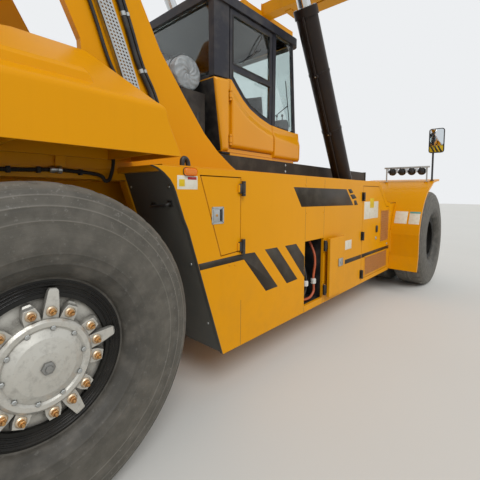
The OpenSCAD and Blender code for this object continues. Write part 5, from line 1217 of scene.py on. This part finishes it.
        # screen on its stalk, pod and levers beside the steering column
        easel = ((3.040, -0.560, 2.610), (0.908, 0.330, 0.259), (-0.342, 0.940, 0.0), (-0.243, -0.089, 0.966))
        tablet = moved(block((0.002, 0.004, 0.004), (0.050, 0.276, 0.246), 0.008), *easel)
        glass = moved(block((0.0005, 0.016, 0.018), (0.003, 0.264, 0.232), 0.001), *easel)
        stalk = pipe([(3.140, -0.440, 2.380), (3.145, -0.440, 2.500), (3.090, -0.445, 2.660)], 0.014, 8, 12)
        pod = plate(soft_corners([[3.130, 2.300], [3.370, 2.300], [3.372, 2.520], [3.330, 2.590],
                                  [3.180, 2.560], [3.130, 2.480]], 0.03), -0.770, -0.470, 0.02)
        levers = [turned([(0, 0), (0.006, 0), (0.006, 0.060), (0.014, 0.070), (0.016, 0.084), (0.009, 0.096),
                          (0, 0.098)], (3.250 + 0.02 * k, -0.560 - 0.075 * k, 2.560), "z", 16)
                  for k in range(3)]
        piece("cab_floor_mat", [floor], "cab", "carpet_black")
        piece("cab_controls", [surface(bellows, wrap_cols=True, caps=True), pan, shell, stem, column, dash,
                               *consoles, *wheel, *sticks, tablet, stalk, pod, *levers], "cab",
              "black_plastic", ("cab_interior",), slot="interior")
        piece("cab_screen", [glass], "cab", "dark_screen")
        # cushions: crowned pads with sewn channels, kept inside the room that the frame's plain seat holds
        on_back = (-LEAN[2], LEAN[1], LEAN[0])
        seat = pad((2.445, 0, 2.392), (0.266, 0.252, 0.056), (-0.13, 0.13))
        at_back = SEAT_FOOT + 0.325 * LEAN[2] + 0.008 * LEAN[0]
        at_head = np.array([2.088, 0, 3.055]) + 0.105 * LEAN[2]
        back = moved(pad((0, 0, 0), (0.300, 0.236, 0.056), (-0.12, 0.12)), at_back, *on_back)
        head = moved(pad((0, 0, 0), (0.098, 0.134, 0.040)), at_head, *on_back)
        rests = [pad((2.400, k * 0.335, 2.520), (0.190, 0.062, 0.026)) for k in (-1, 1)]
        for name, part, fill in (("seat_cushion", [seat], 0.8), ("seat_back", [back], 0.8),
                                 ("seat_head", [head], 0.9), ("seat_arms", rests, 0.9)):
            piece(name, part, "cab", "seat_fabric", sharp=180)
        return {"FINISHED"}


class REACH_OT_lamps_mirrors(bpy.types.Operator):
    """Work lamps on their pale bars, the orange side markers and the mirrors with their striped foot."""

    bl_idname = "reach_stacker.lamps_mirrors"
    bl_label = "Lamps and mirrors"

    def execute(self, context):
        x, lamp_z = 5.860, 1.982
        ys = [-(1.385 + 0.160 * i) for i in range(4)]
        bar = [block((x - 0.014, -1.990, 2.040), (x + 0.014, -1.250, 2.068), 0.004)]
        for y in (-1.290, -1.950):
            bar += [block((x - 0.010, y - 0.010, 1.8005), (x + 0.010, y + 0.010, 2.044), 0.002),
                    block((x - 0.016, y - 0.030, 1.8005), (x + 0.016, y + 0.030, 1.806), 0.002)]
        bar += [block((x - 0.016, y + k * 0.0705 - 0.0035, 1.960),
                      (x + 0.016, y + k * 0.0705 + 0.0035, 2.043), 0.001) for y in ys for k in (-1, 1)]
        bar += [plate(rect(y - 0.060, y + 0.060, 2.036, 2.0415, 0.002), x - 0.012, x + 0.012, 0.001,
                      plane="yz") for y in ys]
        twin("lamp_rails_{}", bar, "machine", "lamp_frame")
        shell = [(0, -0.034), (0.030, -0.034), (0.044, -0.028), (0.046, -0.020), (0.060, 0.000),
                 (0.065, 0.008), (0.065, 0.038), (0.062, 0.040), (0.0575, 0.040), (0.0565, 0.030), (0, 0.024)]
        fins = [block((x - 0.030 + 0.008 * i, y - 0.040, 1.948), (x - 0.027 + 0.008 * i, y + 0.040, 2.016),
                      0.001) for y in ys for i in range(4)]
        lamps = [turned(shell, (x, y, lamp_z), "x", 40) for y in ys]
        wires = [pipe([(x - 0.032, y, 1.978), (x - 0.052, y, 1.974), (x - 0.046, y, 2.02),
                       (x - 0.016, y + 0.02, 2.050)], 0.005, 8, 8) for y in ys]
        # one piece holds both sides' lamps, because the frame has one node for them
        piece("work_lamps", [p if s < 0 else mirrored(p) for p in (*lamps, *fins, *wires) for s in (-1, 1)],
              "machine", "black_plastic", ("lamp_bars",))
        lens = [turned([(0, 0.026), (0.056, 0.031), (0.057, 0.034), (0.036, 0.0385), (0, 0.040)],
                       (x, y, lamp_z), "x", 32) for y in ys]
        twin("lamp_lenses_{}", lens, "machine", "clear_lens")
        # marker: stadium-shaped dome, its rim drawn in along a quarter circle
        outline = soft_corners([[0.858, 1.691], [0.968, 1.691], [0.968, 1.747], [0.858, 1.747]], 0.027, 8)
        base = plate(outline, -BODY_Y - 0.0045, -BODY_Y + SINK, 0.001)
        dome = plate(drawn_in(outline, 0.0025), -BODY_Y - 0.0210, -BODY_Y - 0.0040, 0.014, steps=8)
        twin("marker_feet_{}", [base], "machine", "black_plastic")
        twin("marker_lenses_{}", [dome], "machine", "orange_lens")
        # mirror on its post, glass to the rear
        x, y = 5.905, -2.020
        post = [turned([(0, 0), (0.0150, 0), (0.0150, 0.70), (0, 0.70)], (x, y, 1.8153), "z", 24),
                turned([(0, 0), (0.032, 0), (0.030, 0.010), (0.017, 0.016), (0, 0.016)], (x, y, 1.8152), "z",
                       24)]
        arms = [pipe([(x, y, z), (5.915, -2.030, z), (5.920, -2.052, z)], 0.009, 6, 12, up=(0, 0, 1))
                for z in (2.38, 2.49)]
        outline = rect(-2.181, -1.951, 2.284, 2.692, 0.045)
        frame_part = [plate(outline, 5.896, 5.922, 0.008, plane="yz"),
                      rim_ring(outline, 0.012, 5.8885, 5.900, "yz")]
        piece("mirror_frames", [q for p in (*post, *arms, *frame_part) for q in (p, mirrored(p))], "machine",
              "black_plastic", ("mirrors",))
        pane = plate(rect(-2.168, -1.964, 2.405, 2.679, 0.034), 5.8905, 5.8965, 0.001, plane="yz")
        twin("mirror_glass_{}", [pane], "machine", "mirror_glass")
        band = plate(rect(-2.168, -1.964, 2.297, 2.402, 0.020), 5.8905, 5.8965, 0.001, plane="yz")
        twin("mirror_band_{}", [band], "machine", "label_yellow")
        bars = [plate(np.array([[-2.166 + t, 2.300], [-2.136 + t, 2.300], [-2.086 + t, 2.399],
                                [-2.116 + t, 2.399]]), 5.8900, 5.8908, 0.0002, plane="yz")
                for t in (0.008, 0.062, 0.116)]
        twin("mirror_bars_{}", bars, "machine", "stripe_film")
        return {"FINISHED"}


class REACH_OT_boom_dress(bpy.types.Operator):
    """Pipes, clamps and bolts of the lift cylinders, and hard pipes in their clamps on the boom."""

    bl_idname = "reach_stacker.boom_dress"
    bl_label = "Boom and cylinders"

    def execute(self, context):
        # the lift barrel at rest: its foot pin and the directions along it, across it and square to both
        lift_tilt = math.radians(30.18)
        c, s = math.cos(lift_tilt), math.sin(lift_tilt)
        place = ((WHEELBASE - 1.255, -1.100, 1.200), (c, 0, s), (0, 1, 0), (-s, 0, c))
        line = [(-0.125, -0.02, 0.30), (-0.160, -0.03, 0.36), (-0.1655, -0.03, 0.50), (-0.1655, -0.03, 2.80),
                (-0.160, -0.03, 2.92), (-0.125, -0.02, 2.96)]
        parts = [pipe(line, 0.0125, 10, 14)]
        clamped = (0.72, 1.50, 2.30)
        parts += [block((-0.186, -0.056, z - 0.020), (-0.134, -0.004, z + 0.020), 0.004) for z in clamped]
        parts += [block((-0.160, -0.060, 0.25), (-0.120, 0.020, 0.33), 0.006)]
        twin("lift_pipes_{}", [moved(p, *place) for p in parts], "lift_cylinder_{}", "cylinder_enamel")
        bolts = sum([bolt((-0.186, -0.030, z), 0.008, "x", -1) for z in clamped], [])
        gland = [bolt((0.124 * math.cos(b), 0.124 * math.sin(b), 3.1005), 0.011, "z", 1)
                 for b in np.radians(np.arange(0, 360, 30))]
        twin("lift_bolts_{}", [moved(p, *place) for p in bolts + sum(gland, [])], "lift_cylinder_{}",
             "bright_zinc")
        # hard pipes and their clamps on the outer boom's top, 0.8 m above its axis
        pipes = [tube([(0.75, y, 0.828), (7.10, y, 0.828)], 0.0125, 12)
                 for y in (-0.30, -0.26, -0.22, 0.26, 0.30)]
        clamps = [block((u - 0.02, y0, 0.7995), (u + 0.02, y1, 0.846), 0.004)
                  for y0, y1 in ((-0.34, -0.18), (0.22, 0.34)) for u in np.arange(1.0, 7.2, 0.85)]
        piece("boom_pipes", [on_boom(p) for p in pipes], "boom", "bright_zinc")
        piece("boom_clamps", [on_boom(p) for p in clamps], "boom", "black_plastic")
        return {"FINISHED"}


class REACH_OT_running_gear(bpy.types.Operator):
    """Beads of the rear rims, washers, nuts and studs of the hubs, cap bolts, plugs and valves."""

    bl_idname = "reach_stacker.running_gear"
    bl_label = "Running gear"

    def execute(self, context):
        # ridges of the rim's lock ring, on its dished outer face
        low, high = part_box("rear_rim_right")
        edge = (high[2] - low[2]) / 2 - 0.062
        r = np.linspace(edge - 0.004, edge + 0.046, 90)
        face = np.interp(r, [edge - 0.024, edge + 0.018, edge + 0.040, edge + 0.060],
                         [0.015, 0.009, 0.015, 0.0135])
        ridge = 0.0006 + 0.0034 * np.clip(np.cos((r - edge) * 2 * math.pi / 0.0145), 0, 1) ** 0.5
        front = np.stack([r, face + ridge], 1)
        bead = np.concatenate([front, np.stack([r, face - 0.002], 1)[::-1]])
        twin("rim_beads_{}", [turned(bead, (0, -1.690, AXLE_Z), "y", 120, -1, loop=True)], "rear_wheel_{}",
             "rim_gloss")
        # washer, nut and stud at each of the fifteen lugs, in five groups of three
        y = -(REAR_Y + FLANGE + 0.046)
        stud_r, cap_r = 0.236, 0.165
        washer = [(0, -0.0004), (0.023, -0.0004), (0.023, 0.003), (0.018, 0.008), (0, 0.008)]
        nut = [(0, 0.003), (0.0155, 0.003), (0.0155, 0.020), (0.012, 0.023), (0, 0.023)]
        stud = [(0, 0.02), (0.0085, 0.02), (0.0085, 0.034), (0.0065, 0.037), (0, 0.037)]
        nuts, washers = [], []
        for a in [math.radians(8.3 + 72 * group + 20 * k) for group in range(5) for k in (-1, 0, 1)]:
            at = (stud_r * math.sin(a), y, AXLE_Z + stud_r * math.cos(a))
            washers.append(turned(washer, at, "y", 20, -1))
            nuts += [turned(nut, at, "y", 6, -1), turned(stud, at, "y", 14, -1)]
        twin("hub_washers_{}", washers, "rear_wheel_{}", "washer_zinc")
        twin("hub_nuts_{}", nuts, "rear_wheel_{}", "zinc_studs")
        y = -(REAR_Y + FLANGE + 0.0535)
        head = [(0, 0), (0.011, 0), (0.011, 0.010), (0.008, 0.012), (0, 0.012)]
        ring = [turned(head, (cap_r * math.sin(a), y, AXLE_Z + cap_r * math.cos(a)), "y", 6, -1)
                for a in np.radians(np.arange(12, 372, 36))]
        twin("hub_cap_bolts_{}", ring, "rear_wheel_{}", "bright_zinc")
        plug = turned([(0, -0.001), (0.030, -0.001), (0.028, 0.010), (0.016, 0.012), (0.016, 0.020),
                       (0, 0.020)], (0, -(REAR_Y + FLANGE + 0.0875), AXLE_Z), "y", 6, -1)
        twin("hub_plugs_{}", [plug], "rear_wheel_{}", "cast_plug")
        z = AXLE_Z + 0.03
        valve = [pipe([(0.290, -1.675, z), (0.283, -1.690, z), (0.268, -1.700, z)], 0.005, 6, 10)]
        twin("valves_{}", valve, "rear_wheel_{}", "zinc_studs")
        return {"FINISHED"}


def tread(x0, x1, y0, y1):
    """Anti-slip sheet on the deck: raised lozenges 36 mm from one to the next, every other one turned square.
    Each has four points on the deck and four at 0.45 of their distance from its middle, 2 mm higher."""
    pitch, deck, top = 0.036, 1.7602, 1.7622
    u, v = np.meshgrid(np.arange(int((x1 - x0) / pitch)) + 0.5, np.arange(int((y1 - y0) / pitch)) + 0.5,
                       indexing="ij")
    turn = ((u + v).astype(int) % 2).reshape(-1, 1, 1)
    flat = np.array([[-0.013, 0], [0, -0.0042], [0.013, 0], [0, 0.0042]])
    flat = np.where(turn == 0, flat, flat[:, ::-1] * [1, -1])
    centre = np.stack([x0 + pitch * u.ravel(), y0 + pitch * v.ravel()], 1)[:, None]
    level = np.full((len(centre), 4, 1), 1.0)
    feet = np.concatenate([centre + flat, deck * level], 2)
    tops = np.concatenate([centre + 0.45 * flat, top * level], 2)
    faces = np.array([[0, 1, 5, 4], [1, 2, 6, 5], [2, 3, 7, 6], [3, 0, 4, 7], [4, 5, 6, 7], [3, 2, 1, 0]])
    faces = (faces[None] + 8 * np.arange(len(centre))[:, None, None]).reshape(-1, 4)
    return np.concatenate([feet, tops], 1).reshape(-1, 3), [faces]


class REACH_OT_deck_dress(bpy.types.Operator):
    """Rail joints with their bolts, anti-slip sheet on the deck, and tail lamps in the counterweight."""

    bl_idname = "reach_stacker.deck_dress"
    bl_label = "Deck and rear"

    def execute(self, context):
        joint = [block((3.160, -0.8540, 1.745), (3.196, -0.8496, 1.985), 0.001)]
        bolts = sum([bolt((3.178, -0.8538, z), 0.010) for z in (1.800, 1.869, 1.950)], [])
        twin("rail_joints_{}", joint, "machine", "rail_enamel")
        twin("rail_bolts_{}", bolts, "machine", "bright_zinc")
        twin("deck_treads_{}", [tread(1.20, 3.95, -1.56, -0.90)], "machine", "yellow_enamel")
        # tail lamps in the counterweight's back, which leans forward above 1.64 m
        x = -1.450
        for name, y0, y1, coat in (("tail_red", -1.36, -1.24, "red_lens"),
                                   ("tail_orange", -1.23, -1.16, "orange_lens"),
                                   ("tail_clear", -1.15, -1.10, "clear_lens")):
            lens = plate(rect(y0, y1, 1.40, 1.50, 0.008), x - 0.0002, x + 0.010, 0.004, plane="yz")
            twin(name + "_{}", [lens], "machine", coat, slot="body_paint")
        ring = rim_ring(rect(-1.375, -1.085, 1.385, 1.515, 0.012), 0.012, x - 0.0001, x + 0.012, plane="yz")
        twin("tail_frames_{}", [ring], "machine", "black_plastic")
        return {"FINISHED"}


class REACH_OT_studio(bpy.types.Operator):
    """Plain pale floor, soft light from all round, one large lamp, and the photograph's camera."""

    bl_idname = "reach_stacker.studio"
    bl_label = "Studio"

    def execute(self, context):
        s = context.scene.reach_stacker.stage
        scene = context.scene
        scene.view_settings.view_transform = "Standard"
        u = np.linspace(-60, 60, 9)
        grid = np.stack([*np.meshgrid(u, u, indexing="ij"), np.zeros((9, 9))], -1)
        mesh = bpy.data.meshes.new("studio_floor")
        mesh.from_pydata(grid.reshape(-1, 3).tolist(), [], quads(9, 9)[:, ::-1].tolist())
        # poured screed: matt and even, in clouds 2 m across
        screed = bpy.data.materials.new("poured_screed")
        screed.use_nodes = True
        tree = screed.node_tree
        tree.nodes.clear()
        pale = np.array(s.floor)
        cloud = add(tree, "TexNoise", add(tree, "TexCoord", out="Object"), 0.5)
        tone = add(tree, "Mix", cloud, 0.94 * pale, pale, data_type="RGBA")
        add(tree, "OutputMaterial", add(tree, "BsdfPrincipled", Base_Color=tone, Roughness=0.75))
        mesh.materials.append(screed)
        floor = bpy.data.objects.new("studio_floor", mesh)
        scene.collection.objects.link(floor)
        world = bpy.data.worlds.new("studio_world")
        world.use_nodes = True
        scene.world = world
        tree = world.node_tree
        tree.nodes.clear()
        # the camera, gloss and glass see the backdrop, and everything else is lit by plain white
        seen = add(tree, "LightPath", out="Is Camera Ray")
        for ray in ("Is Glossy Ray", "Is Transmission Ray"):
            seen = add(tree, "Math", seen, add(tree, "LightPath", out=ray), operation="MAXIMUM")
        lit = add(tree, "Background", (1, 1, 1), s.fill)
        shown = add(tree, "Background", s.back, 1.0)
        add(tree, "OutputWorld", add(tree, "MixShader", seen, lit, shown))
        key = bpy.data.objects.new("key_lamp", bpy.data.lights.new("key_lamp", "SUN"))
        key.data.energy, key.data.angle = s.key, math.radians(35)
        key.rotation_euler = (math.radians(42), math.radians(-14), math.radians(-8))
        scene.collection.objects.link(key)
        camera = bpy.data.objects.new("photo_camera", bpy.data.cameras.new("photo_camera"))
        # solved from the two wheels: focal length and the horizon's row, in pixels of the photograph's 480
        pixels, focal, row = 480, 326.34, 213.5
        camera.data.sensor_width, camera.data.lens = 36.0, focal / pixels * 36
        camera.data.shift_y = -(pixels / 2 - row) / pixels
        camera.data.clip_start, camera.data.clip_end = 0.05, 300
        yaw, pitch, roll = math.radians(41.768), math.radians(3.657), math.radians(-0.447)
        ahead = np.array([math.cos(yaw) * math.cos(pitch), math.sin(yaw) * math.cos(pitch), -math.sin(pitch)])
        right = np.array([math.sin(yaw), -math.cos(yaw), 0.0])
        down = np.cross(ahead, right)
        right, down = (math.cos(roll) * right + math.sin(roll) * down,
                       -math.sin(roll) * right + math.cos(roll) * down)
        turn = Matrix([[right[i], -down[i], -ahead[i]] for i in range(3)]).to_4x4()
        camera.matrix_world = Matrix.Translation((REAR[0] - 0.473, -3.314, 1.585)) @ turn
        scene.collection.objects.link(camera)
        scene.camera = camera
        return {"FINISHED"}


class REACH_PT_panel(bpy.types.Panel):
    """Lists the settings and the steps of the dress."""

    bl_label = "Reach Stacker"
    bl_idname = "REACH_PT_panel"
    bl_space_type = "VIEW_3D"
    bl_region_type = "UI"
    bl_category = "Reach Stacker"

    def draw(self, context):
        s = context.scene.reach_stacker
        for group in ("paint", "tyres", "cab", "stage"):
            box = self.layout.box()
            box.label(text=group.capitalize())
            settings = getattr(s, group)
            for name in settings.bl_rna.properties.keys():
                if name not in ("rna_type", "name"):
                    box.prop(settings, name)
        for step in STEPS:
            self.layout.operator(step.bl_idname)


SETTINGS = (PaintSettings, TyreSettings, CabSettings, StageSettings, StackerSettings)
STEPS = (
    REACH_OT_studio,
    REACH_OT_paint_frame,
    REACH_OT_tyres,
    REACH_OT_markings,
    REACH_OT_doors,
    REACH_OT_charging_bay,
    REACH_OT_wheel_arch,
    REACH_OT_tower_dress,
    REACH_OT_cab_dress,
    REACH_OT_lamps_mirrors,
    REACH_OT_boom_dress,
    REACH_OT_running_gear,
    REACH_OT_deck_dress,
)


def register():
    for cls in (*SETTINGS, *STEPS, REACH_PT_panel):
        bpy.utils.register_class(cls)
    bpy.types.Scene.reach_stacker = PointerProperty(type=StackerSettings)


def unregister():
    del bpy.types.Scene.reach_stacker
    for cls in reversed((*SETTINGS, *STEPS, REACH_PT_panel)):
        bpy.utils.unregister_class(cls)


def main():
    """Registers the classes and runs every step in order."""
    register()
    for step in STEPS:
        group, name = step.bl_idname.split(".")
        getattr(getattr(bpy.ops, group), name)()
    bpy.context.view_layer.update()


if __name__ == "__main__":
    main()
